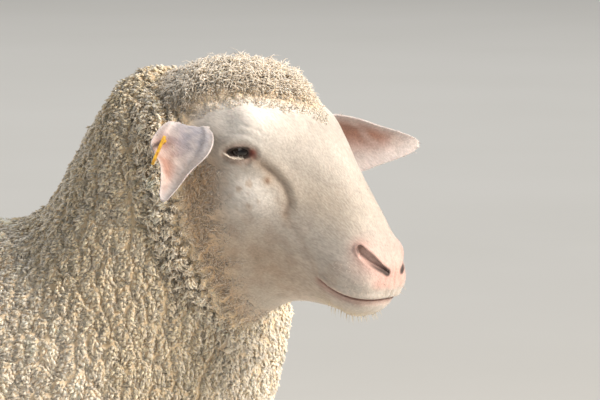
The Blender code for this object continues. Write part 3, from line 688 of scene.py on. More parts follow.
# The locks shade each other, so most of the wool's tints are lighter than real wool and most of the
# skin's are darker than real skin, to suit the lamps below. Under other light they need setting again.
tints = {
    "trunkFleece": "#FFE9C6",
    # painted shadow of the head, cast on the neck
    "neckCastShadow": "#CDB794",
    "shoulderFleece": "#FFEBCD",
    "bellyFleece": "#EBD9BA",
    "pollFleece": "#F8E6CB",
    "cheekFleece": "#FFE9C8",
    "deepFleeceAndShade": "#DCC8A8",
    "face": "#B5B0AB",
    # partly painted light: the brow and temple are tinted lighter than their white hair
    "brow": "#F3F0EC",
    "jowl": "#A49B8F",
    "underEar": "#A67A54",
    "cheekWool": "#D3B28C",
    # painted shade for the side of the nose
    "noseSideShade": "#968C7F",
    "paleCheek": "#E2DFDC",
    "tan": "#9C7F60",
    "stain": "#805D41",
    "troughLine": "#4F3728",
    "canthus": "#8E4A3E",
    "lidRim": "#2E211C",
    "lidFold": "#8F7464",
    "lid": "#A5897B",
    "spot": "#6B4029",
    "muzzle": "#B4A6A1",
    "nosePad": "#C79F98",
    "nostril": "#1E1010",
    "lips": "#A07C74",
    "mouthLine": "#7A5348",
    "chin": "#BCAE93",
    "earInside": "#9A6C5A",
    "earHair": "#D2C9C8",
    "earShade": "#7A7F94",
    "earOutside": "#BDB8BA",
    "leg": "#C2B6A5",
    "legSoil": "#98876F",
}
tint = {name: linear(value) for name, value in tints.items()}


def allOf(name, points):
    return np.broadcast_to(tint[name], points.shape).copy()


def painted(colour, *layers):  # lays the tint of each mask over what is below it
    for mask, name in layers:
        colour = colour + (tint[name] - colour) * np.clip(mask, 0, 1)[..., None]
    return colour


def patch(points, place, reach):
    return bell(np.linalg.norm((points - place) / reach, axis=1), 1.0)


def headMarks(local):
    left, _ = mirrored(local)
    x, z = local[:, 0], local[:, 2]
    _, cap, ruff = headWool(local)
    edge = 0.105 - 0.5 * np.minimum(z + 0.010, 0)
    colour = painted(
        allOf("face", local),
        # the brow and temple: white hair, painted lighter as well to stand for the light falling on them
        (0.90 * ramp(z, 0.020, 0.050) * (1 - ramp(x, 0.08, 0.13)), "brow"),
        # lower on the cheek: partly its greyer short hair, partly painted shade
        (0.75 * ramp(-z, 0.015, 0.060) * (1 - ramp(x, 0.13, 0.20)), "jowl"),
        (0.75 * patch(left, (0.060, 0.062, -0.016), (0.024, 0.05, 0.022)), "underEar"),
        (0.85 * (1 - ramp(x, edge - 0.045, edge)) * (1 - ramp(z, -0.02, 0.02)), "cheekWool"),
    )
    for fold, width, amount, name in (  # the tear trough is fold 0, the cheek crease fold 2
        # the tear trough: tan and stain, with a dark line along the middle of its crease
        (0, 0.0080, 0.42, "tan"), (0, 0.0042, 0.42, "stain"), (0, 0.0019, 0.78, "troughLine"),
        (2, 0.0045, 0.22, "stain"),
    ):
        gap, where = pathDistance(left, head["folds"][fold][0])
        colour = painted(colour, (amount * bell(gap, width) * (1 - 0.4 * where), name))
    # painted shade down the side of the nose; paler under the eye with tan marks, and tan along the jaw
    pale = patch(left, (0.116, 0.055, -0.002), (0.020, 0.05, 0.016))
    spot = np.linalg.norm(local - (0.126, -0.052, 0.0145), axis=1)
    colour = painted(
        colour,
        (0.65 * patch(left, (0.172, 0.038, 0.018), (0.050, 0.05, 0.022)), "noseSideShade"),
        (0.85 * pale, "paleCheek"),
        (0.55 * pale * ramp(softNoise(left, 0.010, 12), 0.35, 0.9), "tan"),
        (0.40 * bell(z + 0.055, 0.030) * bell(x - 0.165, 0.060), "tan"),
        (0.45 * bell(spot, 0.0048), "tan"),
        (0.9 * bell(spot, 0.0019), "spot"),
        (0.16 * ramp(softNoise(left, 0.018, 11), 0.2, 0.9) * ramp(-z, -0.02, 0.03), "stain"),
    )
    for side in (1, -1):  # lids
        seen = moved(local, eyeFrame(side).inverted())
        gap = lidDistance(seen, side)
        near = (np.linalg.norm(seen, axis=1) < 0.024) & (seen[:, 2] > -0.002)
        above = ramp(seen[:, 1] * side, 0.0, 0.003)
        corner = bell(np.linalg.norm(seen[:, :2] - (0.0122, 0.0), axis=1), 0.0036)
        colour = painted(
            colour,
            (near * 0.60 * bell(gap - 0.001, 0.0032), "lid"),
            (near * 0.95 * (1 - ramp(gap, 0.0003, 0.0012)), "lidRim"),
            # painted shade along the crease over the upper lid
            (near * 0.5 * above * bell(gap - 0.0050, 0.0014), "lidFold"),
            (near * 0.85 * corner, "canthus"),
        )
    gap, _ = pathDistance(left, nostrilLine)
    line = z - mouthHeight(x)
    lips = ramp(x, 0.194, 0.202)
    muzzle = ramp(x, 0.205, 0.236) * ramp(z, -0.034, -0.018) * (1 - ramp(z, 0.010, 0.022))
    woolly = np.maximum(ramp(cap, 0.002, 0.008), ramp(ruff, 0.002, 0.008))
    return painted(
        colour,
        (0.75 * muzzle, "muzzle"),
        (0.85 * bell(gap, 0.0085), "nosePad"),
        (0.75 * ramp(x, 0.244, 0.251) * ramp(z, -0.030, -0.022), "nosePad"),
        # painted shade inside the sunken nostril, near black
        (0.96 * (1 - ramp(gap, 0.0022, 0.0050)), "nostril"),
        (lips * 0.60 * bell(line + 0.0022, 0.0035), "lips"),
        # the dark line where the lips meet: partly the lips' darker skin, partly painted shade in the crease
        (lips * 0.75 * bell(line, 0.0010), "mouthLine"),
        (0.5 * ramp(x, 0.19, 0.22) * ramp(-line, 0.010, 0.018), "chin"),
        # the head's skin under its wool: the deeper wool's colour, darkened as painted shade deep in the coat
        (0.9 * woolly, "deepFleeceAndShade"),
    )


def earMarks(local, found):
    place, around = found[:, 1], found[:, 2]
    onRight = isPart(found, "ear_right")
    inside = ramp(around, 0.49, 0.53) * (1 - ramp(around, 0.97, 1.0))
    across = (around - 0.75) * 4  # -1 and 1 at the two rims of the hollow
    leftPink = bell(across - 0.22, 0.42) * (1 - ramp(place, 0.70, 0.97))
    rightPink = bell(across + 0.45, 0.40) * ramp(place, 0.30, 0.55) * (1 - ramp(place, 0.80, 1.0))
    shade = bell(across - 0.15, 0.60) * bell(place - 0.44, 0.20) * onRight
    return painted(
        allOf("earOutside", local),
        (0.90 * inside * np.where(onRight, rightPink, leftPink), "earInside"),
        (0.70 * inside * shade, "earShade"),
        (0.35 * inside * ramp(softNoise(local, 0.014, 5), -0.2, 0.9), "earHair"),
    )


def fleeceTint(points):  # tips of the fleece on trunk and neck, in the model's frame
    x, z = points[:, 0], points[:, 2]
    # painted shadow of the head: a browner tint up the neck behind the cheeks, down to a slanting line above
    # the shoulder; the chest in front stays out of it
    line = flow(
        [0.55, 0.60, 0.66, 0.69, 0.72, 0.745, 0.80], [0.29, 0.28, 0.26, 0.244, 0.214, 0.186, 0.14], z
    )
    below = ramp(x - line, -0.020, 0.025)
    chest = ramp(x, 0.340, 0.375) * (1 - ramp(z, 0.68, 0.72))
    colour = painted(
        allOf("trunkFleece", points),
        (0.9 * ramp(x, 0.04, 0.14) * ramp(z, 0.40, 0.55), "shoulderFleece"),
        (0.70 * below * (1 - chest) * ramp(z, 0.50, 0.60), "neckCastShadow"),
        (0.8 * (1 - ramp(z, 0.34, 0.50)), "bellyFleece"),
    )
    soil = ramp(softNoise(points, 0.16, 6) + 0.4 * softNoise(points, 0.05, 7), 0.1, 1.3)
    return colour * (1 - 0.12 * soil[:, None])


def legMarks(points):
    soil = (1 - ramp(points[:, 2], 0.05, 0.20)) * ramp(softNoise(points, 0.03, 8), -0.6, 0.9)
    return painted(allOf("leg", points), (0.75 * soil, "legSoil"))


def isPart(found, *names):
    return np.isin(found[:, 0].astype(int), [partOf[n] for n in names])


legNames = tuple(body["legs"])
earNames = tuple(ears)
# the fleece's skin is darker than the tips of the wool: painted shade deep in the coat
skinShade = 0.66  # the skin under the fleece, against the tips of the wool


def markings(points, found):
    local = moved(points, toHead)
    colour = fleeceTint(points) * skinShade
    onLeg = isPart(found, *legNames)
    short = ramp(-points[:, 2], -0.33, -0.27)[:, None]
    colour = np.where(onLeg[:, None], legMarks(points) * short + colour * (1 - short), colour)
    onHead = isPart(found, "head")
    colour[onHead] = headMarks(local[onHead])
    onEar = isPart(found, *earNames)
    colour[onEar] = earMarks(local[onEar], found[onEar])
    return colour


def combed(points, found):  # a place measured along and across the lie of the hair
    local = moved(points, toHead)
    place = points * np.array((1.0, 1.0, 0.25))
    onHead = isPart(found, "head", *earNames)
    place[onHead] = local[onHead] * np.array((0.22, 1.0, 0.7))
    return place


def giveColours(mesh, name, colours):
    layer = mesh.color_attributes.new(name, "FLOAT_COLOR", "POINT")
    values = np.ones((len(colours), 4), np.float32)
    values[:, :3] = colours
    layer.data.foreach_set("color", values.ravel())


def giveVectors(mesh, name, vectors):
    layer = mesh.attributes.new(name, "FLOAT_VECTOR", "POINT")
    layer.data.foreach_set("vector", vectors.astype(np.float32).ravel())


def addNode(tree, kind, inputs=None, **settings):  # a node with its settings, values and links
    made = tree.nodes.new(kind)
    for name, value in settings.items():
        setattr(made, name, value)
    for name, value in (inputs or {}).items():
        if isinstance(value, bpy.types.NodeSocket):
            tree.links.new(value, made.inputs[name])
        else:
            made.inputs[name].default_value = value
    return made


def newMaterial(name, **values):
    made = bpy.data.materials.new(name)
    made.use_nodes = True
    shader = made.node_tree.nodes["Principled BSDF"]
    for key, value in values.items():
        shader.inputs[key.replace("_", " ")].default_value = value
    return made, made.node_tree, shader


def attribute(tree, name, output):
    return addNode(tree, "ShaderNodeAttribute", attribute_name=name).outputs[output]


def objectPlace(tree):
    return addNode(tree, "ShaderNodeTexCoord").outputs["Object"]


def noise(tree, place, scale, detail, roughness=0.5):
    inputs = {"Vector": place, "Scale": scale, "Detail": detail, "Roughness": roughness}
    return addNode(tree, "ShaderNodeTexNoise", inputs).outputs["Fac"]


def spread(tree, value, low, high, start=0.3, end=0.7):  # start to end becomes low to high
    inputs = {"Value": value, "From Min": start, "From Max": end, "To Min": low, "To Max": high}
    return addNode(tree, "ShaderNodeMapRange", inputs).outputs[0]


def stretched(tree, vector, scale):
    return addNode(tree, "ShaderNodeVectorMath", {0: vector, 1: scale}, operation="MULTIPLY").outputs[0]


def shaded(tree, colour, amount):
    return addNode(tree, "ShaderNodeVectorMath", {0: colour, "Scale": amount}, operation="SCALE").outputs[0]


def lengthOf(tree, vector):
    return addNode(tree, "ShaderNodeVectorMath", {0: vector}, operation="LENGTH").outputs["Value"]


def between(tree, value, low, high, start=0.0, end=1.0):  # from one colour to another
    made = addNode(tree, "ShaderNodeValToRGB", {"Fac": value})
    for stop, place, colour in zip(made.color_ramp.elements, (start, end), (low, high)):
        stop.position = place
        stop.color = (*linear(colour), 1)
    return made.outputs[0]


def mixed(tree, share, colour, over):
    inputs = {0: share, 6: colour, 7: (*linear(over), 1)}
    return addNode(tree, "ShaderNodeMix", inputs, data_type="RGBA").outputs[2]


def finished(tree, shader, colour, height=None, strength=0.0, depth=0.0):  # colour, and relief if any
    tree.links.new(colour, shader.inputs["Base Color"])
    if height is not None:
        bump = addNode(tree, "ShaderNodeBump", {"Height": height, "Strength": strength, "Distance": depth})
        tree.links.new(bump.outputs[0], shader.inputs["Normal"])


def hideMaterial():  # skin with short white hair lying flat: matt, streaked along the hair
    made, tree, shader = newMaterial(
        "shortHairedSkin", Roughness=0.62, IOR=1.45, Sheen_Weight=0.25, Sheen_Roughness=0.5,
        Subsurface_Weight=0.10, Subsurface_Radius=(0.006, 0.003, 0.002), Subsurface_Scale=0.6,
    )
    comb = attribute(tree, "comb", "Vector")
    # hairs about 1 mm apart, drawn coarser than the real 0.1 mm so that they show
    hairs = noise(tree, comb, 900.0, 3.0)
    streak = spread(tree, hairs, 0.80, 1.10)
    blotch = spread(tree, noise(tree, comb, 150.0, 2.0), 0.88, 1.06)
    both = addNode(tree, "ShaderNodeMath", {0: streak, 1: blotch}, operation="MULTIPLY").outputs[0]
    finished(tree, shader, shaded(tree, attribute(tree, "hide", "Color"), both), hairs, 0.35, 0.0007)
    return made


# grown wool and hair: matt and soft, with fine streaks along each lock. Light that passes into
# the wool softens its shadows; the hair lets none in and is a little glossier.
def woolMaterial(name, roughness, sheen, grain, depth, glow):
    made, tree, shader = newMaterial(
        name, Roughness=roughness, IOR=1.54, Sheen_Weight=sheen, Sheen_Roughness=0.6,
        Specular_IOR_Level=0.2, Subsurface_Weight=glow, Subsurface_Radius=(0.0090, 0.0075, 0.0060),
        Subsurface_Scale=1.0,
    )
    fibres = noise(tree, attribute(tree, "fibre", "Vector"), 1 / grain, 3.0, 0.6)
    colour = shaded(tree, attribute(tree, "coat", "Color"), spread(tree, fibres, 0.88, 1.06))
    finished(tree, shader, colour, fibres, 0.6, depth)
    return made


giveColours(skinMesh, "hide", markings(points, found))
giveVectors(skinMesh, "comb", combed(points, found))
skinMesh.shade_smooth()
skin = newObject("skin", skinMesh, hideMaterial())
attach(skin, "root")
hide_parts("head", "neck", "trunk", "tail", *legNames, *earNames)
print("stage: skin painted")

# spacing and length of the locks, their thickness, how far they lean from upright at root and tip,
# how much they wander and curl, how clumped they are, and how bright their tips and roots are
lockSides = 3
woolLock = dict(flat=0.8, rings=3, curl=0, whorl=0, blunt=3.0, tip=1.0, root=1.0, parted=0.14)
hairLock = woolLock | dict(rings=2, pull=0.1, blunt=1.5, uneven=0.3)
locks = {
    "fleece_trunk": woolLock | dict(
        spacing=0.0079, length=0.0130, radius=0.0050, flat=0.6, lean=(42, 88), wander=26, curl=60,
        pull=0.14, uneven=0.30, parted=0.20,
    ),
    "fleece_neck": woolLock | dict(
        spacing=0.00275, length=0.0072, radius=0.00205, flat=0.62, rings=2, lean=(42, 86), wander=28,
        curl=70, pull=0.12, uneven=0.30, parted=0.30,
    ),
    "poll_wool": woolLock | dict(
        spacing=0.00142, length=0.0100, radius=0.00075, lean=(0, 105), wander=60, curl=190,
        pull=0.16, whorl=0.35, blunt=4.0, root=0.90, uneven=0.45, parted=0.26,
    ),
    "poll_wisps": woolLock | dict(
        spacing=0.0036, length=0.0160, radius=0.00042, rings=5, lean=(0, 130), wander=90, curl=220,
        clump=0.008, pull=0.1, root=0.95, uneven=0.5,
    ),
    "cheek_curls": woolLock | dict(
        spacing=0.0021, length=0.0080, radius=0.00120, lean=(20, 100), wander=40, curl=120,
        pull=0.06, whorl=0.5, blunt=5.0, root=0.95, uneven=0.25, parted=0.60,
    ),
    "cheek_hair": woolLock | dict(
        spacing=0.0017, length=0.0068, radius=0.00060, lean=(26, 88), wander=40, curl=70,
        clump=0.006, pull=0.2, tip=1.06, root=0.98, uneven=0.45,
    ),
    "tail_wool": woolLock | dict(
        spacing=0.0068, length=0.014, radius=0.0032, lean=(20, 90), wander=34, curl=60,
        clump=0.016, pull=0.14, blunt=4.0, tip=1.04, root=0.7, uneven=0.4,
    ),
    "leg_wool": woolLock | dict(
        spacing=0.0062, length=0.0110, radius=0.0026, lean=(30, 90), wander=28, curl=50,
        clump=0.012, pull=0.16, blunt=4.0, tip=1.02, root=0.84, uneven=0.4,
    ),
    "leg_hair": hairLock | dict(
        spacing=0.0046, length=0.0065, radius=0.00060, lean=(66, 86), wander=14, clump=0.006,
        tip=1.02, root=0.96,
    ),
    "face_hair": hairLock | dict(
        spacing=0.0030, length=0.0048, radius=0.00030, lean=(74, 88), wander=14, clump=0.006,
        tip=1.10, root=0.96,
    ),
    "ear_hair": hairLock | dict(
        spacing=0.0030, length=0.0046, radius=0.00030, lean=(64, 84), wander=18, clump=0.005,
        tip=1.04, root=0.97,
    ),
}
rootDepth = 0.0012  # locks start this far under the skin
unwrapPatch = 0.003  # share of the unwrap's width that one lock takes up
fullWool = 0.017  # where the coat of the head is this deep, its locks have their whole length
pieceTriangles = 190000  # longer coats are split into pieces of about this many


def cheekEdge(local):  # how far along the face the short wool of the cheek reaches
    return 0.108 - 0.5 * np.minimum(local[:, 2] + 0.010, 0) + 0.007 * softNoise(local, 0.016, 43)


skinMesh.calc_loop_triangles()
triangles = readOut(skinMesh.loop_triangles, "vertices", 3, np.int32)
normals = readOut(skinMesh.vertex_normals, "vector", 3, np.float32).astype(float)
corners = points[triangles]
areas = np.linalg.norm(np.cross(corners[:, 1] - corners[:, 0], corners[:, 2] - corners[:, 0]), axis=1) / 2
middles = corners.mean(1)
foundFaces = found[triangles[:, 0]]


def scattered(mask, spacing, rng):  # points spread over the chosen triangles, one to a small cell
    chosen = np.nonzero(mask)[0]
    weight = np.cumsum(areas[chosen])
    count = int(4.0 * weight[-1] / spacing**2)
    pick = chosen[np.searchsorted(weight, rng.uniform(0, weight[-1], count))]
    a, b = rng.uniform(size=(2, count))
    over = a + b > 1
    a, b = np.where(over, 1 - a, a), np.where(over, 1 - b, b)
    corner = triangles[pick]
    share = np.stack([1 - a - b, a, b], 1)[..., None]
    spots = (points[corner] * share).sum(1)
    facing = unit((normals[corner] * share).sum(1))
    first = oneToACell(spots, spacing)
    return spots[first], facing[first]


def tuftFaces(rings, sides):  # quads up the sides, a fan at the tip and a cap at the root
    faces, corners = [], []
    for r in range(rings - 1):
        for s in range(sides):
            e = (s + 1) % sides
            faces.append([r * sides + s, r * sides + e, (r + 1) * sides + e, (r + 1) * sides + s])
            corners.append([(s, r), (s + 1, r), (s + 1, r + 1), (s, r + 1)])
    last = (rings - 1) * sides
    for s in range(sides):
        faces.append([last + s, last + (s + 1) % sides, rings * sides])
        corners.append([(s, rings - 1), (s + 1, rings - 1), (s + 0.5, rings)])
    faces.append(list(range(sides))[::-1])
    corners.append([(s, 0) for s in range(sides)][::-1])
    return faces, corners


def lockMesh(name, roots, outward, lie, length, radius, plan, rootColour, tipColour, uv, rng):
    rings, sides = plan["rings"], lockSides
    n = len(roots)
    t = np.linspace(0, 1, rings + 1)
    across = np.cross(outward, lie)
    lean = np.radians(plan["lean"][0] + (plan["lean"][1] - plan["lean"][0]) * t**0.8)[None]
    lean = lean + np.radians(rng.normal(0, 9, (n, 1))) * (0.4 + t[None])
    swing = np.radians(plan["curl"]) * rng.uniform(-1, 1, (n, 1)) * t[None] ** 1.3
    way = (
        np.cos(lean)[..., None] * outward[:, None]
        + (np.sin(lean) * np.cos(swing))[..., None] * lie[:, None]
        + (np.sin(lean) * np.sin(swing))[..., None] * across[:, None]
    )
    steps = (way[:, :-1] + way[:, 1:]) / 2 * (length / rings)[:, None, None]
    centre = roots[:, None] + np.concatenate([np.zeros((n, 1, 3)), np.cumsum(steps, 1)], 1)
    centre = centre - outward[:, None] * rootDepth
    side = unit(across[:, None] - way * (across[:, None] * way).sum(-1, keepdims=True))
    other = np.cross(way, side)
    along = t[None, :-1]
    thick = radius[:, None] * (1 - along ** plan["blunt"]) ** 0.7 * (0.85 + 0.25 * np.sin(math.pi * along))
    angle = np.arange(sides) / sides * 2 * math.pi + rng.uniform(0, 2 * math.pi, (n, 1))
    ring = (
        np.cos(angle)[:, None, :, None] * side[:, :-1, None]
        + plan["flat"] * np.sin(angle)[:, None, :, None] * other[:, :-1, None]
    ) * thick[:, :, None, None]
    verts = np.concatenate([(centre[:, :-1, None] + ring).reshape(n, rings * sides, 3), centre[:, -1:]], 1)
    per = rings * sides + 1
    shade = np.append(np.repeat(t[:-1], sides), 1.0)[None, :, None] ** 0.9
    colours = rootColour[:, None] * (1 - shade) + tipColour[:, None] * shade
    faces, corners = tuftFaces(rings, sides)
    sizes = np.array([len(f) for f in faces])
    flat = np.concatenate([np.array(f) for f in faces])
    flatUv = np.concatenate([np.array(c, float) for c in corners]) / (sides, rings) - 0.5
    mesh = bpy.data.meshes.new(name)
    mesh.vertices.add(n * per)
    mesh.vertices.foreach_set("co", verts.astype(np.float32).ravel())
    mesh.loops.add(n * len(flat))
    each = np.arange(n)[:, None]
    mesh.loops.foreach_set("vertex_index", (flat[None] + per * each).astype(np.int32).ravel())
    mesh.polygons.add(n * len(faces))
    starts = np.concatenate([[0], np.cumsum(sizes)[:-1]])
    mesh.polygons.foreach_set("loop_start", (starts[None] + len(flat) * each).astype(np.int32).ravel())
    mesh.update(calc_edges=True)
    layer = mesh.uv_layers.new(name="OFBake")
    patch = uv[:, None] + flatUv[None] * unwrapPatch
    layer.uv.foreach_set("vector", patch.astype(np.float32).ravel())
    giveColours(mesh, "coat", colours.reshape(-1, 3))
    # a place measured across the lock, and along it squeezed five times, for the fibres
    offset = np.concatenate([
        np.stack([
            (np.cos(angle)[:, None] * thick[:, :, None]).reshape(n, -1),
            (np.sin(angle)[:, None] * thick[:, :, None]).reshape(n, -1),
            np.repeat(length[:, None] * along / 5, sides, 1),
        ], -1),
        np.stack([np.zeros((n, 1)), np.zeros((n, 1)), length[:, None] / 5], -1),
    ], 1) + rng.uniform(0, 1, (n, 1, 3))
    giveVectors(mesh, "fibre", offset.reshape(-1, 3))
    mesh.shade_smooth()
    return mesh


# each shape's own rectangle on one unwrap: low corner and size
rectangles = {
    "spine": (0.01, 0.01, 0.98, 0.52),
    "head": (0.01, 0.55, 0.40, 0.43),
    "ear_left": (0.43, 0.55, 0.12, 0.20),
    "ear_right": (0.43, 0.78, 0.12, 0.20),
    "leg_front_left": (0.57, 0.55, 0.20, 0.20),
    "leg_front_right": (0.57, 0.78, 0.20, 0.20),
    "leg_hind_left": (0.79, 0.55, 0.19, 0.12),
    "leg_hind_right": (0.79, 0.69, 0.19, 0.12),
    "tail": (0.79, 0.83, 0.19, 0.14),
}
rectangleTable = np.array([rectangles[name] for name in partNames])


def unwrapped(found):
    box = rectangleTable[found[:, 0].astype(int)]
    return box[:, :2] + found[:, 1:] * box[:, 2:]


headLies = {  # forwards, out to the side and up, in the head's frame
    "poll_wool": (0.7, 0.45, 0.25),
    "poll_wisps": (0.7, 0.45, 0.25),
    "cheek_curls": (-0.30, 0.1, -1.0),
    "cheek_hair": (-0.20, 0.1, -1.0),
    "face_hair": (1.0, 0.0, -0.35),
}
bodyLies = {"fleece_trunk": (-0.40, 0, -1), "fleece_neck": (-0.40, 0, -1)}  # in the model's frame
limbLie = (-0.1, 0, -1)


def lieOf(name, spots, outward):
    local = moved(spots, toHead)
    if name in headLies:
        side = np.where(local[:, 1] < 0, -1.0, 1.0)
        one = np.ones(len(spots))
        way = np.stack([one, side, one], 1) * headLies[name]
        if name in ("poll_wool", "poll_wisps"):
            way[:, 2] -= 0.8 * ramp(local[:, 0], 0.06, 0.12)
        way = way @ headTurn.T
    elif name == "ear_hair":
        way = np.empty_like(spots)
        for ear, onIt in (("ear_left", local[:, 1] > 0), ("ear_right", local[:, 1] <= 0)):
            run = unit(np.gradient(surfaces[ear].mean(axis=1), axis=0))
            where = lookUp(tree, keys, spots[onIt])[:, 1]
            way[onIt] = run[np.clip((where * (len(run) - 1)).astype(int), 0, len(run) - 1)]
    else:
        way = np.broadcast_to(np.array(bodyLies.get(name, limbLie), float), spots.shape)
    return unit(way - outward * (way * outward).sum(1, keepdims=True))


def turned(vectors, axis, angle):
    c, s = np.cos(angle)[:, None], np.sin(angle)[:, None]
    return vectors * c + np.cross(axis, vectors) * s


legWoolFrom, legHairTo = 0.265, 0.275  # heights on the leg between which wool and hair overlap
rootWarmth = np.array((1.0, 0.93, 0.84)) ** 0.2


def tipTint(name, spots, found):
    if name in ("fleece_trunk", "fleece_neck", "tail_wool"):
        return fleeceTint(spots)
    if name in ("poll_wool", "poll_wisps"):
        return allOf("pollFleece", spots)
    if name == "cheek_curls":
        return allOf("cheekFleece", spots)
    if name == "leg_wool":
        share = ramp(spots[:, 2], 0.25, 0.36)[:, None]
        return fleeceTint(spots) * share + legMarks(spots) * (1 - share)
    return markings(spots, found)


def grow(name, mask, material, rng, thin=None):
    plan = locks[name]
    spots, outward = scattered(mask, plan["spacing"], rng)
    if thin is not None:
        keep = rng.uniform(size=len(spots)) < thin(spots)
        spots, outward = spots[keep], outward[keep]
    n = len(spots)
    if name in staples:
        centres = staples[name]
        stretch, clump = staplePlans[name]["stretch"], staplePlans[name]["spacing"]
    else:
        stretch, clump = (1, 1, 1), plan["clump"]
        centres, _ = scattered(mask, clump, rng)
    which, gaps = nearestTwo(centres * stretch, spots * stretch)
    swirl = np.radians(plan["wander"]) * (
        0.6 * softNoise(spots, 0.045, 31) + 0.9 * rng.normal(size=len(centres))[which]
        + 0.35 * rng.normal(size=n)
    )
    lie = turned(lieOf(name, spots, outward), outward, swirl)
    inwards = (centres[which] - spots) / clump
    inwards = inwards - outward * (inwards * outward).sum(1, keepdims=True)
    inwards = inwards / np.maximum(np.linalg.norm(inwards, axis=1, keepdims=True), 1)
    lie = unit(lie + 3.0 * (plan["pull"] * inwards + plan["whorl"] * np.cross(outward, inwards)) + 1e-6)
    border = 1 - bell(gaps[:, 1] - gaps[:, 0], clump * 0.35)
    uneven = 1 + plan["uneven"] * rng.normal(0, 0.45, n).clip(-1, 1)
    length = plan["length"] * (0.80 + 0.20 * border) * uneven
    radius = plan["radius"] * rng.uniform(0.8, 1.2, n)
    if name in ("poll_wool", "poll_wisps", "cheek_curls", "cheek_hair"):
        local = moved(spots, toHead)
        depth, _, _ = headWool(local)
        if name == "cheek_hair":
            edge = cheekEdge(local)
            depth = 0.016 - 0.009 * ramp(local[:, 0], edge - 0.045, edge)
        share = np.clip(depth / fullWool, 0.38, 1.15)
        length = length * share
        radius = radius * np.clip(share, 0.55, 1.0)
    where = lookUp(tree, keys, spots)
    tipColour = tipTint(name, spots, where) * plan["tip"]
    clumpTone = np.random.default_rng(77).normal(1, 0.07, len(centres))[which]
    tone = rng.normal(1, 0.07, n) * clumpTone
    # locks in the partings between clumps are painted darker: painted shade in the partings
    tipColour = tipColour * (tone * (1 - plan["parted"] * (1 - border)))[:, None]
    warm = rng.normal(0, 0.02, n)[:, None] * np.array((0.3, 0.0, -1.0)) + 1
    tipColour = np.clip(tipColour * warm, 0, 1)
    # roots darker and a little warmer than the tips: painted shade deep in the coat
    rootColour = tipColour * plan["root"] * rootWarmth
    uv = unwrapped(where)
    perLock = (plan["rings"] - 1) * lockSides * 2 + lockSides * 2 - 2
    pieces = math.ceil(n * perLock / pieceTriangles)
    order = np.argsort(where[:, 0] * 10 + where[:, 1], kind="stable")
    for i, part in enumerate(np.array_split(order, pieces)):
        label = name if pieces == 1 else f"{name}_{i + 1}"
        mesh = lockMesh(label, spots[part], outward[part], lie[part], length[part], radius[part],
                        plan, rootColour[part], tipColour[part], uv[part], rng)
        made = newObject(label, mesh, material)
        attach(made, "root")
    print(f"stage: {name}, {n} tufts, {n * perLock} triangles")


wool = woolMaterial("crimpedWool", 0.95, 0.5, 0.0007, 0.0005, 0.8)
hair = woolMaterial("shortHair", 0.6, 0.2, 0.0010, 0.0002, 0.0)
localFaces = moved(middles, toHead)
_, capDepth, ruffDepth = headWool(localFaces)
onHead = isPart(foundFaces, "head")
onSpine = isPart(foundFaces, "spine")
onLeg = isPart(foundFaces, *legNames)
onEar = isPart(foundFaces, *earNames)
ragged = softNoise(localFaces, 0.012, 41)
fringe = localFaces - np.outer(0.003 + 0.006 * ragged.clip(-0.5, 1), (1, 0, 0))
capped = onHead & (headWool(fringe)[1] > 0.0014) & (capDepth >= ruffDepth)
ruffed = onHead & (ruffDepth > 0.0070 + 0.002 * ragged) & ~capped
bare = onHead & ~capped & ~ruffed
shortWool = bare & (localFaces[:, 0] < cheekEdge(localFaces)) & (localFaces[:, 2] < 0.004)
rng = np.random.default_rng(seed)


def fadingForwards(spots):  # the short wool of the cheek thins out towards the face
    local = moved(spots, toHead)
    edge = cheekEdge(local)
    return 1 - 0.9 * ramp(local[:, 0], edge - 0.030, edge)


def finerForwards(spots):  # share of the finer locks, mixed with the coarser ones over a hand's width
    along = spots[:, 0] + 0.020 * softNoise(spots, 0.04, 44)
    return ramp(along, neckFleeceFrom - 0.045, neckFleeceFrom + 0.045)


grow(
    "fleece_trunk", onSpine & (middles[:, 0] < neckFleeceFrom + 0.06), wool, rng,
    thin=lambda spots: 1 - finerForwards(spots) ** 2,
)
grow(
    "fleece_neck", onSpine & (middles[:, 0] > neckFleeceFrom - 0.06), wool, rng,
    thin=lambda spots: 1 - (1 - finerForwards(spots)) ** 2,
)
grow("poll_wool", capped, wool, rng)
grow("poll_wisps", capped, wool, rng)
grow("cheek_curls", ruffed, wool, rng)
grow("cheek_hair", shortWool, wool, rng, thin=fadingForwards)
grow("tail_wool", isPart(foundFaces, "tail"), wool, rng)
grow("leg_wool", onLeg & (middles[:, 2] > legWoolFrom), wool, rng)
grow("leg_hair", onLeg & (middles[:, 2] <= legHairTo), hair, rng)
grow("ear_hair", onEar, hair, rng)


def eyeClear(spots):  # no hair in the eyes, nostrils or mouth
    local = moved(spots, toHead)
    left, _ = mirrored(local)
    seen = moved(left, eyeFrame(1).inverted())
    nostrilGap, _ = pathDistance(left, nostrilLine)
    line = np.abs(local[:, 2] - mouthHeight(local[:, 0]))
    clear = (lidDistance(seen, 1) > 0.0015) | (np.linalg.norm(seen, axis=1) > 0.020)
    clear &= (nostrilGap > 0.0075) & ((line > 0.0022) | (local[:, 0] < 0.199)) & (local[:, 0] < 0.249)
    return clear.astype(float)


grow("face_hair", bare & ~shortWool, hair, rng, thin=eyeClear)


strandPlans = {
    "lashes": {"length": 0.0085, "radius": 0.00030, "root": "#D8CCC0", "tip": "#FFFAF2"},
    "chin_hairs": {"length": 0.0085, "radius": 0.00020, "root": "#C2B292", "tip": "#E4DAC6"},
    "whiskers": {"length": 0.0050, "radius": 0.00014, "root": "#B9A99C", "tip": "#D6CCC2"},
}
lashCount = 52
strandRings, strandSides = 6, 4


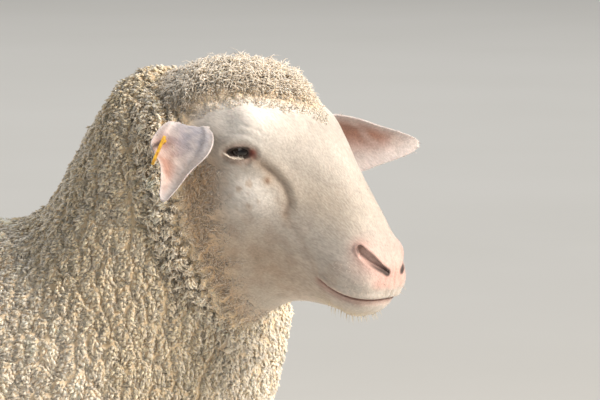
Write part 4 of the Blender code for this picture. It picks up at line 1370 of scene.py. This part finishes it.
def strands(name, plan, roots, ways, drops):
    # single stiff hairs: each starts along its way and bends towards its drop
    n = len(roots)
    t = np.linspace(0, 1, strandRings + 1)[None, :, None]
    reach = (plan["length"] * rng.uniform(0.7, 1.15, n))[:, None, None]
    ways = unit(ways + rng.normal(0, 0.12, (n, 3)))
    drops = unit(drops + rng.normal(0, 0.10, (n, 3)))
    centre = roots[:, None] + reach * (ways[:, None] * t + 0.5 * (drops - ways)[:, None] * t**2)
    ahead = unit(np.gradient(centre, axis=1))
    side = unit(np.cross(ahead, (0.13, 0.31, 0.94)))
    other = np.cross(ahead, side)
    angle = np.arange(strandSides) / strandSides * 2 * math.pi
    thick = plan["radius"] * (1 - t[..., 0] ** 1.5)[..., None, None]
    ring = (np.cos(angle)[:, None] * side[:, :, None] + np.sin(angle)[:, None] * other[:, :, None])
    sleeve = (centre[:, :-1, None] + (ring * thick)[:, :-1]).reshape(n, strandRings * strandSides, 3)
    verts = np.concatenate([sleeve, centre[:, -1:]], 1)
    oneHair, _ = tuftFaces(strandRings, strandSides)
    faces = [[i * verts.shape[1] + corner for corner in face] for i in range(n) for face in oneHair]
    mesh = bpy.data.meshes.new(name)
    mesh.from_pydata(verts.reshape(-1, 3).tolist(), [], faces)
    shade = np.append(np.repeat(t[0, :-1, 0], strandSides), 1.0)[None, :, None]
    colours = linear(plan["root"]) * (1 - shade) + linear(plan["tip"]) * shade + np.zeros((n, 1, 3))
    giveColours(mesh, "coat", colours.reshape(-1, 3))
    giveVectors(mesh, "fibre", verts.reshape(-1, 3))
    mesh.shade_smooth()
    made = newObject(name, mesh, hair)
    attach(made, "root")


def addLashes():
    for name, side in (("left", 1), ("right", -1)):
        place = toWorld @ eyeFrame(side)
        turn = np.array(place)[:3, :3].T
        x = np.linspace(-0.0114, 0.0035, lashCount)
        one = np.ones(lashCount)
        halfLength, halfHeight = eye["opening"][0] / 2, eye["opening"][1]
        y = side * (halfHeight * np.sqrt(1 - (x / halfLength) ** 2) ** lidCurve + 0.0006)
        z = np.sqrt(np.clip((eye["radius"] + 0.0014) ** 2 - x**2 - y**2, 0, 1))
        roots = moved(np.stack([x, y, z], 1), place)
        ways = np.stack([x * 30, side * 0.10 * one, one], 1) @ turn
        drops = np.stack([x * 30 - 0.4, side * -1.1 * one, 0.45 * one], 1) @ turn
        strands(f"lashes_{name}", strandPlans["lashes"], roots, ways, drops)


def addChinHairs():
    along, up = localFaces[:, 0], localFaces[:, 2]
    spots, outward = scattered(onHead & (along > 0.212) & (up < -0.058), 0.0062, rng)
    ways = outward * 0.8 + np.array((0.35, 0.0, 0.0)) @ headTurn.T
    drops = outward * 0.2 + np.array((0.25, 0.0, -0.3)) @ headTurn.T + np.array((0, 0, -0.5))
    strands("chin_hairs", strandPlans["chin_hairs"], spots, ways, drops)
    spots, outward = scattered(onHead & (along > 0.212) & (up < -0.014) & (up > -0.036), 0.0080, rng)
    ways = outward + np.array((0.15, 0.0, -0.2)) @ headTurn.T
    strands("whiskers", strandPlans["whiskers"], spots, ways, ways + np.array((0, 0, -0.35)))


addLashes()
addChinHairs()
print("stage: lashes and whiskers")


def eyeMaterial():  # wet cornea over a brown iris with a level slit of a pupil
    made, tree, shader = newMaterial(
        "wetEye", Roughness=0.22, IOR=1.38, Coat_Weight=1.0, Coat_Roughness=0.03, Coat_IOR=1.38
    )
    place = objectPlace(tree)
    split = addNode(tree, "ShaderNodeSeparateXYZ", {0: place}).outputs
    level = addNode(tree, "ShaderNodeCombineXYZ", {"X": split["X"], "Y": split["Y"]}).outputs[0]
    iris = between(tree, noise(tree, place, 700.0, 2.0), "#120B07", "#2C1B0E")
    inPupil = spread(tree, lengthOf(tree, stretched(tree, level, (0.50, 1.0, 1.0))), 1.0, 0.0, 0.0021, 0.0025)
    onWhite = spread(tree, lengthOf(tree, level), 0.0, 1.0, 0.0098, 0.0112)
    finished(tree, shader, mixed(tree, onWhite, mixed(tree, inPupil, iris, "#07060A"), "#4A352B"))
    return made


def smoothMesh(name, bm):
    mesh = bpy.data.meshes.new(name)
    bm.to_mesh(mesh)
    bm.free()
    mesh.shade_smooth()
    return mesh


def addEyes(material):
    for name, side in (("left", 1), ("right", -1)):
        bm = bmesh.new()
        bmesh.ops.create_uvsphere(bm, u_segments=56, v_segments=40, radius=eye["radius"] - 0.0005)
        for v in bm.verts:  # the cornea stands a little proud
            off = math.hypot(v.co.x, v.co.y)
            if v.co.z > 0:
                v.co *= 1 + 0.045 * math.exp(-((off / 0.0078) ** 4))
        made = newObject(f"eyeball_{name}", smoothMesh(f"eyeball_{name}", bm), material)
        made.matrix_world = toWorld @ eyeFrame(side)
        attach(made, "root")
        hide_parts(f"eye_{name}")


addEyes(eyeMaterial())

hoof = {
    "height": 0.0355,
    "length": 0.060,
    "width": 0.0215,
    "cleft": 0.0030,
    "toeLean": 0.42,
    "outline": [(0.00, 0.04), (0.00, 0.55), (0.10, 0.88), (0.36, 1.00), (0.66, 0.92), (0.88, 0.62),
                (1.00, 0.20), (0.99, 0.02)],
    "levels": [(0.0, 1.0), (0.5, 0.97), (1.0, 0.91)],
    "rings": 9,
}


def hornMaterial():  # grown horn: grey-brown, faintly banded, satin where it rubs
    made, tree, shader = newMaterial("hoofHorn", Roughness=0.45, IOR=1.54)
    bands = noise(tree, stretched(tree, objectPlace(tree), (1.0, 1.0, 5.0)), 120.0, 4.0)
    finished(tree, shader, between(tree, bands, "#3A2F27", "#7B6A57", 0.32, 0.72), bands, 0.5, 0.0008)
    return made


def smoothByAngle(mesh, angle):  # edges sharper than the angle stay crisp
    mesh.shade_smooth()
    mesh.set_sharp_from_angle(angle=angle)


def addHooves(material):
    outline = np.array(hoof["outline"])
    knots = np.arange(len(outline))
    fine = np.clip(flow(knots, outline, np.linspace(0, len(outline) - 1, 34)), 0, 1)
    levels = np.array(hoof["levels"])
    for legName, (table, side, forward) in body["legs"].items():
        x, y = body[table][-1][0] + forward, side * body[table][-1][1]
        for claw, way in (("outer", side), ("inner", -side)):
            rows = []
            for level in np.linspace(0, 1, 28):
                scale = float(flow(levels[:, 0], levels[:, 1], [level])[0])
                scale += 0.006 * math.sin(level * hoof["rings"] * 2 * math.pi) * min(1, 6 * level)
                z = level * hoof["height"]
                scale -= 0.05 * max(0, level - 0.90) / 0.10
                length = (hoof["length"] - hoof["toeLean"] * z) * scale
                rows.append(np.stack([
                    x - 0.027 + fine[:, 0] * length,
                    y + way * (hoof["cleft"] / 2 + fine[:, 1] * hoof["width"] * scale),
                    np.full(len(fine), z),
                ], 1))
            label = legName.replace("leg_", "") + "_" + claw
            mesh = solidFrom(np.array(rows) + np.array(body["place"]))
            made = newObject("claw_" + label, mesh, material)
            smoothByAngle(mesh, 0.9)
            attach(made, "root")
            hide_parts("hoof_" + label)
        for claw, way in (("outer", side), ("inner", -side)):  # dewclaws behind the fetlock
            bm = bmesh.new()
            bmesh.ops.create_uvsphere(bm, u_segments=18, v_segments=14, radius=1.0)
            for v in bm.verts:
                v.co.x *= 0.0065
                v.co.y *= 0.0052
                v.co.z *= 0.0085 * (0.8 if v.co.z > 0 else 1.0)
                v.co.x -= 0.15 * max(0.0, -v.co.z)
            label = legName.replace("leg_", "") + "_" + claw
            mesh = smoothMesh("dewclaw_" + label, bm)
            place = Vector((x - 0.036, y + way * 0.0095, 0.074))
            mesh.transform(Matrix.Translation(Vector(body["place"]) + place))
            made = newObject("dewclaw_" + label, mesh, material)
            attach(made, "root")


addHooves(hornMaterial())
print("stage: eyes and claws")


def tagMaterial():  # moulded polyurethane: amber yellow, waxy, mottled by dust
    made, tree, shader = newMaterial("mouldedPolyurethane", Roughness=0.42, IOR=1.50)
    dust = noise(tree, objectPlace(tree), 260.0, 4.0)
    finished(tree, shader, between(tree, dust, "#A06F22", "#D8B238", 0.35, 0.65), dust, 0.2, 0.0003)
    return made


tagPlastic = tagMaterial()
for name in ("tag_plate", "tag_button", "tag_stud"):
    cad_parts[name].material_slots[0].material = tagPlastic


def floorMaterial():  # matt paper sweep, faintly mottled
    made, tree, shader = newMaterial("mattPaper", Roughness=0.9)
    finished(tree, shader, between(tree, noise(tree, objectPlace(tree), 1.2, 3.0), "#E2E0DA", "#E9E7E2"))
    return made


floorReach = 40.0
floorMesh = bpy.data.meshes.new("floor")
floorCorners = [(x * floorReach, y * floorReach, 0) for x, y in ((-1, -1), (1, -1), (1, 1), (-1, 1))]
floorMesh.from_pydata(floorCorners, [], [(0, 1, 2, 3)])
newObject("floor", floorMesh, floorMaterial())

lights = {  # direction from the head in camera terms (right, back, up), distance, size, power, colour
    "key": ((0.735, 0.45, 0.475), 3.4, 1.5, 225, "#FFF1E0"),
    "fill": ((-0.75, 0.85, 0.35), 3.6, 2.6, 26, "#FBF6EF"),
    "rim": ((-0.25, -0.70, 0.90), 3.4, 1.6, 34, "#F8F5F2"),
}


lampAim = (0.33, 0.0, 0.75)
sweepLamp = {"size": 12.0, "power": 330, "behind": 9.0, "up": 4.0}  # on the paper well behind
studio = {"colour": "#EEECE9", "strength": 0.30}


def addLamp(name, size, power):
    lamp = bpy.data.lights.new(name, "AREA")
    lamp.size = size
    lamp.energy = power
    return lamp, newObject(name, lamp)


def addCameraAndLights():
    around, over = math.radians(camera["azimuth"]), math.radians(camera["elevation"])
    back = Vector((math.sin(around) * math.cos(over), -math.cos(around) * math.cos(over), math.sin(over)))
    right = Vector((math.cos(around), math.sin(around), 0))
    data = bpy.data.cameras.new("camera")
    data.lens = camera["lens"]
    data.sensor_width = 36
    data.clip_end = 200
    made = newObject("camera", data)
    target = Vector(camera["target"])
    made.location = target + back * camera["distance"]
    made.rotation_euler = back.to_track_quat("Z", "Y").to_euler()
    bpy.context.scene.camera = made
    for name, (way, distance, size, power, colour) in lights.items():
        lamp, put = addLamp(name, size, power)
        lamp.shape = "DISK"
        lamp.color = linear(colour)
        toLamp = (right * way[0] + back * way[1] + Vector((0, 0, way[2]))).normalized()
        put.location = Vector(lampAim) + toLamp * distance
        put.rotation_euler = toLamp.to_track_quat("Z", "Y").to_euler()
    _, put = addLamp("sweep", sweepLamp["size"], sweepLamp["power"])
    behind = Vector((back.x, back.y, 0)) * sweepLamp["behind"]
    put.location = target - behind + Vector((0, 0, sweepLamp["up"]))
    world = bpy.data.worlds.new("studio")
    world.use_nodes = True
    backdrop = world.node_tree.nodes["Background"].inputs
    backdrop["Color"].default_value = (*linear(studio["colour"]), 1)
    backdrop["Strength"].default_value = studio["strength"]
    bpy.context.scene.world = world
    bpy.context.scene.view_settings.view_transform = "Standard"


addCameraAndLights()
print("stage: lights")
